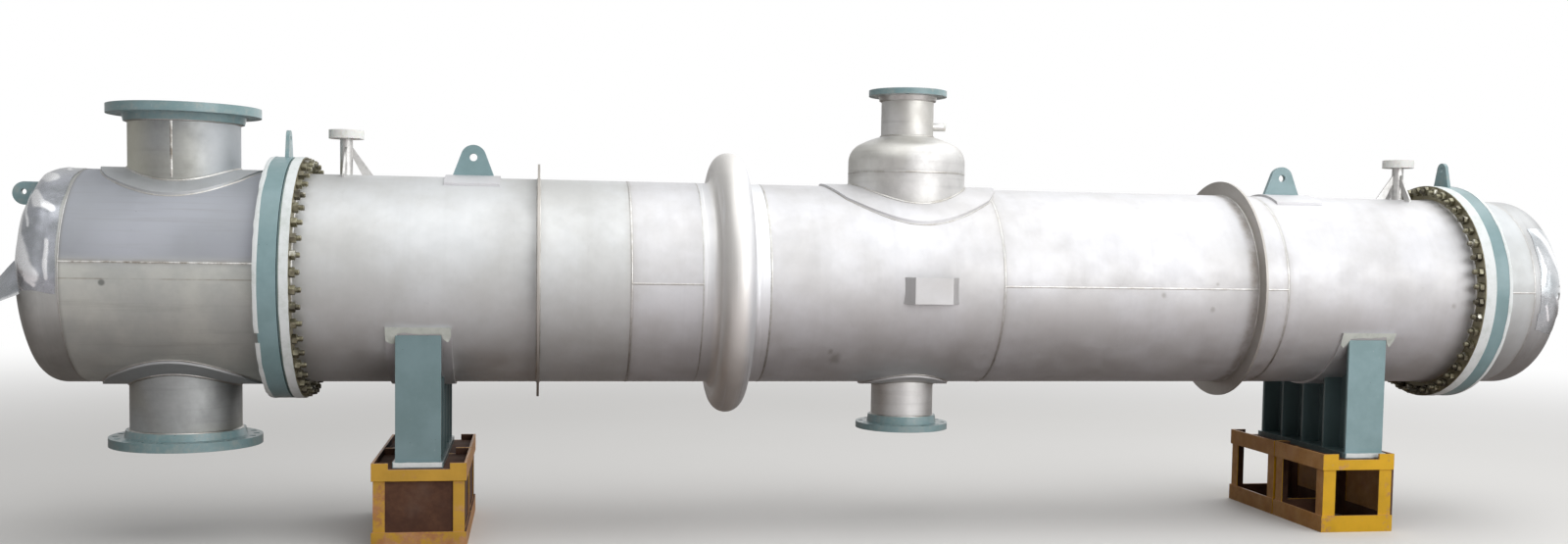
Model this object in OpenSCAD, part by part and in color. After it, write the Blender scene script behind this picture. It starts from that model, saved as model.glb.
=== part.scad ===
// Shell and tube heat exchanger on two saddles, two-pass channel, expansion bellows and vapour dome.
// Millimetres. +X runs along the shell from the channel to the return head, -Y is the front, +Z is up.
// The origin is on the ground under the middle of the whole length.

/* [Shell] */
// Outside diameter of the shell and the channel
shell_od = 1016; // [960:2:1080]
// Plate thickness of the shell, the channel and the heads
shell_wall = 12; // [8:1:16]
// Distance between the outer faces of the two tubesheets
tubesheet_span = 6100; // [5900:10:6600]
// Height of the shell's centre line above the ground
axis_height = 1255; // [1240:5:1400]
// First girth seam, from the channel tubesheet's outer face
seam_1_x = 1601; // [1450:1:1700]
// Seam to the right of the dome, from the same face
seam_2_x = 3452; // [3400:1:3600]
// Last girth seam, from the return tubesheet's outer face
seam_3_x = 1121; // [1000:1:1200]

/* [Bellows] */
// Centre of the bellows, from the channel tubesheet's outer face
bellows_x = 2110; // [2080:1:2180]
// Length of the rolled section that carries the convolution
bellows_section = 330; // [300:2:360]
// Outside diameter over the crest
bellows_od = 1328; // [1280:2:1360]
// Radius of the crest's outside
bellows_crest_r = 79; // [70:1:100]
// Radius of the root's outside
bellows_root_r = 32; // [20:1:40]

/* [Stiffening rings] */
// Height of a ring above the shell
ring_height = 75; // [50:1:90]
// Thickness of a ring
ring_t = 12; // [8:1:20]
// Left ring's centre, from the channel tubesheet's outer face
ring_left_x = 1163; // [1080:1:1250]
// Right ring's centre, from the return tubesheet's outer face
ring_right_x = 1280; // [1220:1:1380]

/* [Girth flanges and tubesheets] */
// Outside diameter of the girth flanges and tubesheets
girth_od = 1174; // [1150:2:1230]
// Thickness of a girth flange
girth_t = 90; // [70:1:100]
// Thickness of a tubesheet
tubesheet_t = 50; // [40:1:60]
// Thickness of the gasket in each girth joint
gasket_t = 4; // [3:0.5:6]
// Outside diameter of the gasket
gasket_od = 1090; // [1070:2:1100]
// Width of the gasket's ring
gasket_w = 37; // [20:1:45]
// Set-back of a barrel's end behind its flange's face
girth_setback = 6; // [4:1:12]

/* [Heads] */
// Crown radius of a head over its outside diameter
crown_ratio = 1; // [0.85:0.01:1]
// Knuckle radius of a head over its outside diameter
knuckle_ratio = 0.1; // [0.08:0.01:0.18]
// Straight flange of a head
head_straight = 88; // [25:1:100]

/* [Channel] */
// Barrel of the channel, from its flange's back to the head's seam
channel_length = 852; // [840:1:1000]
// Barrel of the return end, from its flange's back to the head's seam
return_length = 206; // [150:1:300]
// Thickness of the pass partition
partition_t = 12; // [8:1:16]

/* [Channel nozzles] */
// Nozzle centre line, from the channel tubesheet's outer face
channel_nozzle_x = 516; // [505:1:530]
// Height of the flange faces above the shell
channel_nozzle_reach = 307; // [272:1:352]
// Outside diameter of the neck
channel_pipe_od = 508; // [500:0.5:516]
// Wall of the neck
channel_pipe_wall = 12; // [8:0.5:16]
// Outside diameter of the flange
channel_flange_od = 698.5; // [690:0.5:710]
// Thickness of the flange, without its raised face
channel_flange_t = 43; // [38:0.5:48]
// Outside diameter of the flange's hub
channel_hub_od = 559; // [540:0.5:566]
// Length of the hub below the flange
channel_hub_length = 34; // [25:1:55]
// Height of the raised faces of all pipe flanges
face_rise = 2; // [1:0.1:4]
// Diameter of the raised face
channel_face_od = 584; // [560:0.5:590]
// Bolt circle of the flange
channel_bolt_circle = 635; // [630:0.5:640]
// Number of bolt holes
channel_bolts = 20; // [16:4:24]
// Diameter of a bolt hole
channel_bolt_hole = 31.8; // [28:0.1:34]
// Radius of the reinforcing pad before it is rolled to the shell
channel_pad_r = 368; // [330:1:390]

/* [Vapour dome and its neck] */
// Centre of the dome, from the channel tubesheet's outer face
dome_x = 3060; // [3020:1:3100]
// Outside diameter of the dome
dome_od = 610; // [600:1:620]
// Wall of the dome
dome_wall = 12; // [8:0.5:16]
// Height of the dome's seam above the shell
dome_seam_z = 72; // [60:1:112]
// Straight flange of the dome's head
dome_straight = 58; // [25:1:70]
// Crown radius of the dome's head over its outside diameter
dome_crown_ratio = 0.9; // [0.85:0.01:1]
// Knuckle radius of the dome's head over its outside diameter
dome_knuckle_ratio = 0.17; // [0.14:0.01:0.18]
// Radius of the dome's reinforcing pad before it is rolled to the shell
dome_pad_r = 458; // [420:1:470]
// Outside diameter of the neck
dome_pipe_od = 273; // [268:0.5:278]
// Wall of the neck
dome_pipe_wall = 9.3; // [6:0.1:12]
// Height of the flange's face above the shell
dome_flange_z = 506; // [472:1:552]
// Outside diameter of the flange
dome_flange_od = 406.4; // [400:0.1:412]
// Thickness of the flange, without its raised face
dome_flange_t = 30; // [26:0.5:34]
// Outside diameter of the flange's hub
dome_hub_od = 305; // [295:0.5:310]
// Length of the hub below the flange
dome_hub_length = 24; // [18:1:30]
// Diameter of the raised face
dome_face_od = 324; // [315:0.5:326]
// Bolt circle of the flange
dome_bolt_circle = 362; // [358:0.5:366]
// Number of bolt holes
dome_bolts = 12; // [8:4:16]
// Diameter of a bolt hole
dome_bolt_hole = 25.4; // [22:0.1:28]

/* [Instrument boss] */
// Height of the boss above the shell
boss_z = 322; // [307:1:362]
// Outside diameter of the boss
boss_od = 42; // [30:1:48]
// Reach of the boss from the neck's centre line
boss_reach = 192; // [170:1:220]
// Bore of the boss
boss_bore = 21; // [15:1:24]
// Length of the plug's head outside the boss
boss_plug_head = 12; // [6:1:20]
// Length of the plug inside the boss
boss_plug_length = 18; // [8:1:30]

/* [Bottom nozzle of the shell] */
// Outside diameter of the neck
bottom_pipe_od = 323.9; // [318:0.1:330]
// Wall of the neck
bottom_pipe_wall = 9.5; // [6:0.1:12]
// Distance from the shell down to the flange's face
bottom_reach = 247; // [212:1:282]
// Outside diameter of the flange
bottom_flange_od = 482.6; // [476:0.1:490]
// Thickness of the flange, without its raised face
bottom_flange_t = 32; // [28:0.5:36]
// Outside diameter of the flange's hub
bottom_hub_od = 365; // [350:0.5:370]
// Length of the hub above the flange
bottom_hub_length = 40; // [24:1:44]
// Diameter of the raised face
bottom_face_od = 381; // [372:0.5:384]
// Bolt circle of the flange
bottom_bolt_circle = 431.8; // [428:0.1:436]
// Number of bolt holes
bottom_bolts = 12; // [8:4:16]
// Diameter of a bolt hole
bottom_bolt_hole = 25.4; // [22:0.1:28]
// Radius of the reinforcing pad, seen from below
bottom_pad_r = 236; // [215:1:260]

/* [Vents] */
// Left vent's centre, from the channel tubesheet's outer face
vent_left_x = 233; // [210:1:260]
// Right vent's centre, from the return tubesheet's outer face
vent_right_x = 214; // [205:1:240]
// Height of the vents' flange faces above the shell
vent_face_z = 208; // [192:1:232]
// Outside diameter of a vent's neck
vent_pipe_od = 60.3; // [56:0.1:64]
// Wall of a vent's neck
vent_pipe_wall = 3.9; // [3:0.1:6]
// Outside diameter of a vent's flange
vent_flange_od = 152.4; // [148:0.1:156]
// Thickness of a vent's flange, without its raised face
vent_flange_t = 19; // [16:0.5:22]
// Width of a vent flange's hub around the neck
vent_hub_w = 9; // [5:0.5:10]
// Length of that hub
vent_hub_length = 6; // [4:1:12]
// Diameter of a vent's raised face
vent_face_od = 92; // [88:0.5:96]
// Bolt circle of a vent's flange
vent_bolt_circle = 120.7; // [118:0.1:123]
// Number of bolt holes of a vent's flange
vent_bolts = 4; // [4:4:8]
// Diameter of a vent's bolt hole
vent_bolt_hole = 19; // [16:0.5:20]
// Outside diameter of the cap that covers a vent's flange
vent_cap_od = 166; // [162:1:174]
// Depth of that cap
vent_cap_depth = 42; // [34:1:48]
// Thickness of that cap over the flange's face
vent_cap_top = 9; // [4:1:14]
// Play between cap and flange
vent_cap_play = 1; // [0.5:0.1:2]
// Thickness of a vent's braces
vent_brace_t = 10; // [6:1:14]
// Reach of a brace's foot from the vent's centre line
vent_brace_foot = 127; // [110:1:135]
// Height of a brace's top above the shell
vent_brace_top = 137; // [120:1:145]
// Width of a brace's end on the neck
vent_brace_w = 48; // [35:1:55]
// Width of a brace's end on the shell
vent_brace_foot_w = 43; // [30:1:50]

/* [Lifting lugs] */
// Left lug's centre, from the channel tubesheet's outer face
lug_left_x = 842; // [780:1:880]
// Right lug's centre, from the return tubesheet's outer face
lug_right_x = 917; // [880:1:960]
// Width of a lug at its foot
lug_width = 200; // [180:1:220]
// Radius of a lug's rounded top
lug_r = 62; // [50:1:70]
// Height of a lug's eye above the shell
lug_eye_z = 101; // [92:1:122]
// Diameter of a lug's eye
lug_eye = 38; // [25:1:50]
// Thickness of a lug
lug_t = 25; // [16:1:32]
// Length of a lug's pad along the shell
lug_pad_length = 264; // [230:2:300]
// Width of a lug's pad, seen from above
lug_pad_width = 430; // [300:2:500]

/* [Small lugs of the channel and the return end] */
// Width of the lug on top of a girth flange
top_lug_w = 78; // [60:1:90]
// Width of that lug at its foot
top_lug_foot_w = 134; // [100:1:150]
// Thickness of that lug
top_lug_t = 18; // [12:1:30]
// Place of that lug along the shell, from the flange's middle
top_lug_shift = 13; // [-20:1:20]
// Height of that lug above the flange
top_lug_h = 130; // [100:1:145]
// Eye of a small lug
small_eye = 26; // [16:1:30]
// Reach of the lug on the channel head past the head
head_lug_reach = 26; // [15:1:60]
// Lowest edge of that lug above the shell's centre line
head_lug_z = 329; // [300:1:340]
// Height of that lug
head_lug_h = 109; // [90:1:120]
// Distance of its eye from its free end
head_lug_eye_x = 50; // [30:1:60]
// Height of its eye above its lowest edge
head_lug_eye_z = 62; // [50:1:74]
// Distance of that lug in front of the centre line
head_lug_y = 90; // [60:1:110]
// Thickness of that lug
head_lug_t = 25; // [16:1:32]

/* [Nameplate bracket] */
// Centre of the bracket, from the channel tubesheet's outer face
plate_x = 3076; // [3000:1:3120]
// Height of its centre above the shell's centre line
plate_z = -14; // [-40:1:20]
// Length of the bracket's face
plate_length = 192; // [160:1:220]
// Height of the bracket's face
plate_height = 131; // [100:1:150]
// Stand-off of the face from the shell
plate_standoff = 48; // [40:1:80]
// Slant of each leg along the shell
plate_slant = 40; // [0:1:60]
// Sheet thickness of the bracket
plate_t = 4; // [3:0.5:6]

/* [Saddles] */
// Left saddle's centre, from the channel tubesheet's outer face
saddle_left_x = 611; // [560:1:680]
// Right saddle's centre, from the return tubesheet's outer face
saddle_right_x = 634; // [600:1:700]
// Width of a saddle's ribs along the shell
saddle_rib_w = 210; // [180:2:220]
// Half the distance between the outer faces of the end ribs
saddle_half_y = 456; // [430:1:470]
// Thickness of the end ribs
saddle_end_t = 20; // [14:1:24]
// Thickness of the web and the inner ribs
saddle_web_t = 16; // [10:1:20]
// Width of the base plate along the shell
base_w = 232; // [226:2:240]
// Length of the base plate across the shell
base_l = 950; // [940:2:990]
// Thickness of the base plate
base_t = 28; // [20:1:32]
// Width of the wear plate along the shell
wear_w = 304; // [260:2:330]
// Thickness of the wear plates, the nozzle pads and the lug pads
pad_t = 12; // [8:1:16]
// Upper edge of the wear plate below the shell's centre line
wear_top_z = -214; // [-250:1:-190]

/* [Stands] */
// Height of the rails' top above the ground
stand_height = 381; // [360:1:400]
// Height of the corner ears above the rails
stand_ear_rise = 30; // [15:1:40]
// Leg of an ear's angle on the right stands
stand_right_ear = 86; // [60:1:90]
// Leg of an ear's angle on the left stands
stand_left_ear = 76; // [60:1:90]
// Leg of a corner post's angle on the right stands
stand_right_post = 70; // [50:1:80]
// Leg of a corner post's angle on the left stands
stand_left_post = 54; // [45:1:80]
// Thickness of the posts' angles
stand_post_t = 8; // [6:1:12]
// Set-back of the posts behind the rails' outer faces
stand_post_inset = 8; // [4:1:10]
// Height of a top rail
stand_top_rail = 54; // [40:1:70]
// Height of a bottom rail
stand_bottom_rail = 86; // [60:1:100]
// Thickness of the rails, the ears and the top plate
stand_plate_t = 12; // [11:1:16]
// Place of the left stands along the shell, from their saddle's centre
stand_left_shift = 9; // [-20:1:40]
// Place of the right stands along the shell, from their saddle's centre
stand_right_shift = -63; // [-66:1:0]
// Width of the left stands along the shell
stand_left_w = 434; // [410:2:460]
// Width of the right stands along the shell
stand_right_w = 404; // [400:2:430]
// Depth of one stand
stand_depth = 515; // [505:1:530]
// Gap between the front and the back stand
stand_gap = 10; // [6:1:20]
// Thickness of the panels that close a stand's sides
panel_t = 6; // [4:1:10]
// Reach of the right stands' end panels past the rails
end_panel_reach = 4; // [0:1:6]

/* [Tubes] */
// Outside diameter of a drawn tube
tube_od = 50; // [38:1:54]
// Pitch of the drawn tubes
tube_pitch = 100; // [90:1:110]
// Clearance from the outermost tube to the shell's wall
tube_edge = 16; // [10:1:24]
// Clear height of the pass lane between the upper and the lower tubes
pass_lane = 50; // [40:2:60]

/* [Hidden] */
$fn = 180;

// How far a cutting shape runs past what it cuts
over = 2;
// How far two joined shapes overlap
lap = 1;

shell_r = shell_od / 2;
shell_inner_r = shell_r - shell_wall;
pad_r = shell_r + pad_t;
girth_r = girth_od / 2;

// Places along the shell, measured from the channel tubesheet's outer face
channel_flange_face_x = -gasket_t;
channel_flange_back_x = channel_flange_face_x - girth_t;
channel_seam_x = channel_flange_back_x - channel_length;
return_gasket_x = tubesheet_span;
return_flange_face_x = tubesheet_span + gasket_t;
return_flange_back_x = return_flange_face_x + girth_t;
return_seam_x = return_flange_back_x + return_length;
bellows_left_x = bellows_x - bellows_section / 2;
bellows_right_x = bellows_x + bellows_section / 2;
head_form = [crown_ratio, knuckle_ratio];
dome_form = [dome_crown_ratio, dome_knuckle_ratio];
head_depth = dished_depth(shell_r, crown_ratio * shell_od, knuckle_ratio * shell_od);
left_end_x = channel_seam_x - head_straight - head_depth - head_lug_reach;
right_end_x = return_seam_x + head_straight + head_depth;
middle_x = (left_end_x + right_end_x) / 2;

// Heights above the shell's centre line
channel_face_at = shell_r + channel_nozzle_reach;
dome_seam_at = shell_r + dome_seam_z;
dome_face_at = shell_r + dome_flange_z;
boss_at = shell_r + boss_z;
bottom_face_at = shell_r + bottom_reach;
vent_face_at = shell_r + vent_face_z;
lug_eye_at = shell_r + lug_eye_z;

steel = [0.80, 0.81, 0.80];
green = [0.52, 0.64, 0.63];
yellow = [0.80, 0.62, 0.16];
brown = [0.36, 0.25, 0.19];
white = [0.93, 0.94, 0.90];
dark = [0.30, 0.31, 0.31];

function dished_depth(r, crown, knuckle) =
  crown - sqrt(pow(crown - knuckle, 2) - pow(r - knuckle, 2));

// Distance from the centre plane, seen from above, of a point that lies arc away round a pad
function rolled_y(arc) =
  pad_r * sin(arc / pad_r * 180 / PI);

// Moves children from the channel tubesheet's frame, on the shell's centre line, to the part's frame
module at_x(x = 0) {
  translate([x - middle_x, 0, axis_height]) children();
}

// Lays a shape that stands on Z along +X
module along_x() {
  rotate([0, 90, 0]) children();
}

// A solid bar round the shell's centre line
module shell_bar(x, length, r) {
  at_x(x) along_x() cylinder(r = r, h = length);
}

module shell_tube(x, length, r, inner_r) {
  at_x(x) along_x() difference() {
    cylinder(r = r, h = length);
    translate([0, 0, -over]) cylinder(r = inner_r, h = length + 2 * over);
  }
}

// Half of a dished head's section: crown and knuckle arcs above y = 0
module dished_section(r, crown, knuckle) {
  knuckle_x = r - knuckle;
  depth = dished_depth(r, crown, knuckle);
  tangent_angle = atan2(crown - depth, knuckle_x);
  far = 2 * crown;
  intersection() {
    translate([0, depth - crown]) circle(crown);
    polygon([
      [0, 0], [knuckle_x, 0],
      [knuckle_x + far * cos(tangent_angle), far * sin(tangent_angle)], [0, far]
    ]);
  }
  intersection() {
    translate([knuckle_x, 0]) circle(knuckle);
    translate([knuckle_x - lap, 0]) square([knuckle + lap, knuckle]);
  }
}

// The half section of a head of outside diameter d with its straight flange, set in by inset.
// Its form is the crown and knuckle radii over d.
module head_section(d, straight, form, inset = 0, below = 0) {
  translate([0, straight]) dished_section(d / 2 - inset, form[0] * d - inset, form[1] * d - inset);
  translate([0, -below]) square([d / 2 - inset, straight + below]);
}

// A dished head on +Z, open at 0, with a hole of hole_d in its crown
module dished_head(d, wall, straight, form, hole_d = 0) {
  rotate_extrude() difference() {
    head_section(d, straight, form);
    head_section(d, straight, form, wall, over);
    if (hole_d > 0) {
      translate([0, -over]) square([hole_d / 2, d]);
    }
  }
}

// A pipe that stands on Z
module pipe(d, wall, z0, z1) {
  difference() {
    translate([0, 0, z0]) cylinder(d = d, h = z1 - z0);
    translate([0, 0, z0 - over]) cylinder(d = d - 2 * wall, h = z1 - z0 + 2 * over);
  }
}

// A slip-on pipe flange with its raised face at z = 0 and its hub below
module pipe_flange(od, t, bore, hub_od, hub_length, face_od, bolt_circle, bolts, bolt_hole) {
  difference() {
    union() {
      translate([0, 0, -face_rise]) cylinder(d = face_od, h = face_rise);
      translate([0, 0, -face_rise - t]) cylinder(d = od, h = t);
      translate([0, 0, -face_rise - t - hub_length])
        cylinder(d1 = hub_od - 0.3 * (hub_od - bore), d2 = hub_od, h = hub_length);
    }
    translate([0, 0, -2 * t - hub_length]) cylinder(d = bore, h = 3 * t + hub_length);
    for (i = [0 : bolts - 1]) {
      rotate([0, 0, (i + 0.5) * 360 / bolts])
        translate([bolt_circle / 2, 0, -face_rise - t - over])
        cylinder(d = bolt_hole, h = t + 2 * over, $fn = 48);
    }
  }
}

// A round pad rolled to the shell round a vertical nozzle, above the centre line.
// Seen from above it is a circle flattened by an arc on each side.
module nozzle_pad(x, r, hole_d) {
  half_w = rolled_y(r);
  arc_x = r * cos(45);
  arc_y = rolled_y(r * sin(45));
  arc_shift = (pow(arc_x, 2) + pow(arc_y, 2) - pow(half_w, 2)) / (2 * (half_w - arc_y));
  difference() {
    intersection() {
      shell_tube(x - r - over, 2 * (r + over), pad_r, shell_r);
      at_x(x) cylinder(r = r, h = shell_od);
      at_x(x) translate([0, arc_shift, 0]) cylinder(r = half_w + arc_shift, h = shell_od);
      at_x(x) translate([0, -arc_shift, 0]) cylinder(r = half_w + arc_shift, h = shell_od);
    }
    at_x(x) cylinder(d = hole_d, h = shell_od);
  }
}

// The same under the shell
module mirrored_z() {
  translate([0, 0, axis_height]) mirror([0, 0, 1]) translate([0, 0, -axis_height]) children();
}

module channel_head() {
  color(steel) at_x(channel_seam_x) mirror([1, 0, 0]) along_x()
    dished_head(shell_od, shell_wall, head_straight, head_form);
}

module channel_barrel() {
  color(steel) difference() {
    shell_tube(channel_seam_x, channel_length + girth_t - girth_setback, shell_r, shell_inner_r);
    at_x(-channel_nozzle_x) cylinder(d = channel_pipe_od, h = 2 * shell_od, center = true);
  }
}

module channel_nozzle_pads() {
  color(steel) {
    nozzle_pad(-channel_nozzle_x, channel_pad_r, channel_pipe_od);
    mirrored_z() nozzle_pad(-channel_nozzle_x, channel_pad_r, channel_pipe_od);
  }
}

module channel_neck() {
  difference() {
    at_x(-channel_nozzle_x)
      pipe(channel_pipe_od, channel_pipe_wall, 0, channel_face_at - channel_pipe_wall);
    shell_bar(-channel_nozzle_x - shell_r, shell_od, shell_inner_r);
  }
}

module channel_flange() {
  at_x(-channel_nozzle_x) translate([0, 0, channel_face_at])
    pipe_flange(channel_flange_od, channel_flange_t, channel_pipe_od, channel_hub_od, channel_hub_length,
      channel_face_od, channel_bolt_circle, channel_bolts, channel_bolt_hole);
}

module channel_top_neck() {
  color(steel) channel_neck();
}

module channel_top_flange() {
  color(green) channel_flange();
}

module channel_bottom_neck() {
  color(steel) mirrored_z() channel_neck();
}

module channel_bottom_flange() {
  color(green) mirrored_z() channel_flange();
}

// A flat plate across the middle of the channel; its edges meet the wall at its own faces' height
module pass_partition() {
  inset = shell_r - sqrt(pow(shell_inner_r, 2) - pow(partition_t / 2, 2));
  color(steel) at_x(channel_seam_x) translate([0, 0, -partition_t / 2]) linear_extrude(partition_t)
    for (side = [0, 1]) {
      mirror([0, side, 0]) rotate([0, 0, 90])
        head_section(shell_od, head_straight, head_form, inset, -channel_seam_x);
    }
}

module girth_flange(x) {
  shell_tube(x, girth_t, girth_r, shell_r);
}

module channel_girth_flange() {
  color(green) girth_flange(channel_flange_back_x);
}

module girth_gaskets() {
  color(dark) {
    shell_tube(channel_flange_face_x, gasket_t, gasket_od / 2, gasket_od / 2 - gasket_w);
    shell_tube(return_gasket_x, gasket_t, gasket_od / 2, gasket_od / 2 - gasket_w);
  }
}

module channel_tubesheet() {
  color(steel) shell_bar(0, tubesheet_t, girth_r);
}

// The tubes stand on a square pitch in an upper and a lower group
module tube_bundle() {
  reach = shell_inner_r - tube_edge - tube_od / 2;
  count = floor(reach / tube_pitch);
  color(steel) for (i = [-count : count]) {
    for (j = [0 : count]) {
      y = i * tube_pitch;
      z = pass_lane / 2 + tube_od / 2 + j * tube_pitch;
      if (norm([y, z]) < reach) {
        for (side = [-1, 1]) {
          at_x(tubesheet_t) translate([0, y, side * z]) along_x()
            cylinder(d = tube_od, h = tubesheet_span - 2 * tubesheet_t, $fn = 24);
        }
      }
    }
  }
}

module shell_course(x0, x1) {
  color(steel) shell_tube(x0, x1 - x0, shell_r, shell_inner_r);
}

module shell_course_1() {
  color(steel) difference() {
    shell_course(tubesheet_t, seam_1_x);
    at_x(vent_left_x) cylinder(d = vent_pipe_od, h = shell_od);
  }
}

module shell_course_2() {
  shell_course(seam_1_x, bellows_left_x);
}

// The convolution's section above the centre line, drawn as the outside of a sheet set in by inset
module bellows_section_2d(inset) {
  base_r = shell_r - inset;
  crest_z = bellows_od / 2 - bellows_crest_r;
  half_w = bellows_crest_r - inset;
  root = bellows_root_r + inset;
  root_z = shell_r + bellows_root_r;
  translate([0, -bellows_section / 2 - inset]) square([base_r, bellows_section + 2 * inset]);
  translate([0, -half_w]) square([crest_z, 2 * half_w]);
  translate([crest_z, 0]) circle(half_w);
  for (side = [-1, 1]) {
    difference() {
      translate([base_r - lap, side > 0 ? half_w - lap : -half_w - root])
        square([root + lap, root + lap]);
      translate([root_z, side * (half_w + root)]) circle(root);
    }
  }
}

module expansion_bellows() {
  color(steel) at_x(bellows_x) along_x() rotate_extrude() difference() {
    bellows_section_2d(0);
    bellows_section_2d(shell_wall);
  }
}

module shell_course_3() {
  color(steel) difference() {
    shell_course(bellows_right_x, seam_2_x);
    at_x(dome_x) cylinder(d = dome_od, h = shell_od);
    at_x(dome_x) translate([0, 0, -shell_od]) cylinder(d = bottom_pipe_od, h = shell_od);
  }
}

module shell_course_4() {
  shell_course(seam_2_x, tubesheet_span - seam_3_x);
}

module shell_course_5() {
  color(steel) difference() {
    shell_course(tubesheet_span - seam_3_x, tubesheet_span - tubesheet_t);
    at_x(tubesheet_span - vent_right_x) cylinder(d = vent_pipe_od, h = shell_od);
  }
}

module stiffening_rings() {
  color(steel) for (x = [ring_left_x, tubesheet_span - ring_right_x]) {
    shell_tube(x - ring_t / 2, ring_t, shell_r + ring_height, shell_r);
  }
}

module dome_pad() {
  color(steel) nozzle_pad(dome_x, dome_pad_r, dome_od);
}

module dome_barrel() {
  color(steel) difference() {
    at_x(dome_x) pipe(dome_od, dome_wall, 0, dome_seam_at);
    shell_bar(dome_x - shell_r, shell_od, shell_inner_r);
  }
}

module dome_head() {
  color(steel) at_x(dome_x) translate([0, 0, dome_seam_at])
    dished_head(dome_od, dome_wall, dome_straight, dome_form, dome_pipe_od);
}

module dome_neck() {
  color(steel) at_x(dome_x) difference() {
    pipe(dome_pipe_od, dome_pipe_wall, dome_seam_at, dome_face_at - dome_pipe_wall);
    translate([0, 0, dome_seam_at]) rotate_extrude()
      head_section(dome_od, dome_straight, dome_form, dome_wall, over);
    translate([0, 0, boss_at]) along_x() cylinder(d = boss_bore, h = dome_pipe_od, $fn = 48);
  }
}

module dome_flange() {
  color(green) at_x(dome_x) translate([0, 0, dome_face_at])
    pipe_flange(dome_flange_od, dome_flange_t, dome_pipe_od, dome_hub_od, dome_hub_length,
      dome_face_od, dome_bolt_circle, dome_bolts, dome_bolt_hole);
}

module instrument_boss() {
  color(steel) at_x(dome_x) difference() {
    translate([0, 0, boss_at]) along_x() cylinder(d = boss_od, h = boss_reach, $fn = 48);
    translate([0, 0, boss_at]) along_x() cylinder(d = boss_bore, h = boss_reach + over, $fn = 48);
    translate([0, 0, boss_at - boss_od]) cylinder(d = dome_pipe_od, h = 2 * boss_od);
  }
}

module bottom_nozzle_pad() {
  color(steel) mirrored_z() nozzle_pad(dome_x, bottom_pad_r, bottom_pipe_od);
}

module bottom_nozzle_neck() {
  color(steel) mirrored_z() difference() {
    at_x(dome_x) pipe(bottom_pipe_od, bottom_pipe_wall, 0, bottom_face_at - bottom_pipe_wall);
    shell_bar(dome_x - shell_r, shell_od, shell_inner_r);
  }
}

module bottom_nozzle_flange() {
  color(green) mirrored_z() at_x(dome_x) translate([0, 0, bottom_face_at])
    pipe_flange(bottom_flange_od, bottom_flange_t, bottom_pipe_od, bottom_hub_od, bottom_hub_length,
      bottom_face_od, bottom_bolt_circle, bottom_bolts, bottom_bolt_hole);
}

// Children once at each vent, with the second turned round to face the first
module at_vents() {
  at_x(vent_left_x) children();
  at_x(tubesheet_span - vent_right_x) mirror([1, 0, 0]) children();
}

module vent_necks() {
  color(steel) at_vents() difference() {
    pipe(vent_pipe_od, vent_pipe_wall, 0, vent_face_at - vent_pipe_wall);
    translate([-shell_r, 0, 0]) along_x() cylinder(r = shell_inner_r, h = shell_od);
  }
}

module vent_flanges() {
  color(steel) at_vents() translate([0, 0, vent_face_at])
    pipe_flange(vent_flange_od, vent_flange_t, vent_pipe_od, vent_pipe_od + 2 * vent_hub_w, vent_hub_length,
      vent_face_od, vent_bolt_circle, vent_bolts, vent_bolt_hole);
}

// Flat bars from the neck down to the shell: one along the shell and one to each side
module vent_braces() {
  neck_r = vent_pipe_od / 2;
  sink = shell_r - sqrt(pow(shell_r, 2) - pow(vent_brace_foot, 2)) + over;
  color(steel) at_vents() difference() {
    for (turn = [0, 90, 270]) {
      rotate([0, 0, turn]) rotate([90, 0, 0]) translate([0, 0, -vent_brace_t / 2])
        linear_extrude(vent_brace_t) translate([0, shell_r]) polygon([
          [neck_r - over, vent_brace_top],
          [neck_r - over, vent_brace_top - vent_brace_w],
          [vent_brace_foot - vent_brace_foot_w, -sink],
          [vent_brace_foot, -sink],
          [vent_brace_foot, 0]
        ]);
    }
    cylinder(d = vent_pipe_od, h = vent_face_at);
    translate([-shell_r, 0, 0]) along_x() cylinder(r = shell_r, h = shell_od);
  }
}

module vent_cap() {
  difference() {
    translate([0, 0, vent_face_at + vent_cap_top - vent_cap_depth])
      cylinder(d = vent_cap_od, h = vent_cap_depth);
    translate([0, 0, vent_face_at - vent_cap_depth])
      cylinder(d = vent_flange_od + 2 * vent_cap_play, h = vent_cap_depth);
  }
}

module boss_plug() {
  cylinder(d = boss_od, h = boss_plug_head, $fn = 48);
  translate([0, 0, -boss_plug_length]) cylinder(d = boss_bore, h = boss_plug_length + lap, $fn = 48);
}

module transport_caps() {
  color(white) {
    at_vents() vent_cap();
    at_x(dome_x + boss_reach) translate([0, 0, boss_at]) along_x() boss_plug();
  }
}

// A rounded plate with an eye, wide at its foot, its eye's centre at the origin
module eye_plate(r, foot_w, foot_z, eye) {
  d = norm([foot_w / 2, foot_z]);
  tangent = atan2(foot_z, foot_w / 2) + acos(r / d);
  difference() {
    union() {
      circle(r);
      polygon([
        [-foot_w / 2, foot_z], [foot_w / 2, foot_z],
        [r * cos(tangent), r * sin(tangent)], [-r * cos(tangent), r * sin(tangent)]
      ]);
    }
    circle(d = eye, $fn = 48);
  }
}

module at_lifting_lugs() {
  at_x(lug_left_x) children();
  at_x(tubesheet_span - lug_right_x) children();
}

module lifting_lugs() {
  color(green) at_lifting_lugs() difference() {
    translate([0, lug_t / 2, lug_eye_at]) rotate([90, 0, 0]) linear_extrude(lug_t)
      eye_plate(lug_r, lug_width, pad_r - lug_eye_at - lap, lug_eye);
    translate([-lug_width, 0, 0]) along_x() cylinder(r = pad_r, h = 2 * lug_width);
  }
}

module lug_pads() {
  color(steel) for (x = [lug_left_x, tubesheet_span - lug_right_x]) {
    intersection() {
      shell_tube(x - lug_pad_length / 2, lug_pad_length, pad_r, shell_r);
      at_x(x) translate([-lug_pad_length, -lug_pad_width / 2, 0])
        cube([2 * lug_pad_length, lug_pad_width, shell_od]);
    }
  }
}

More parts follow.
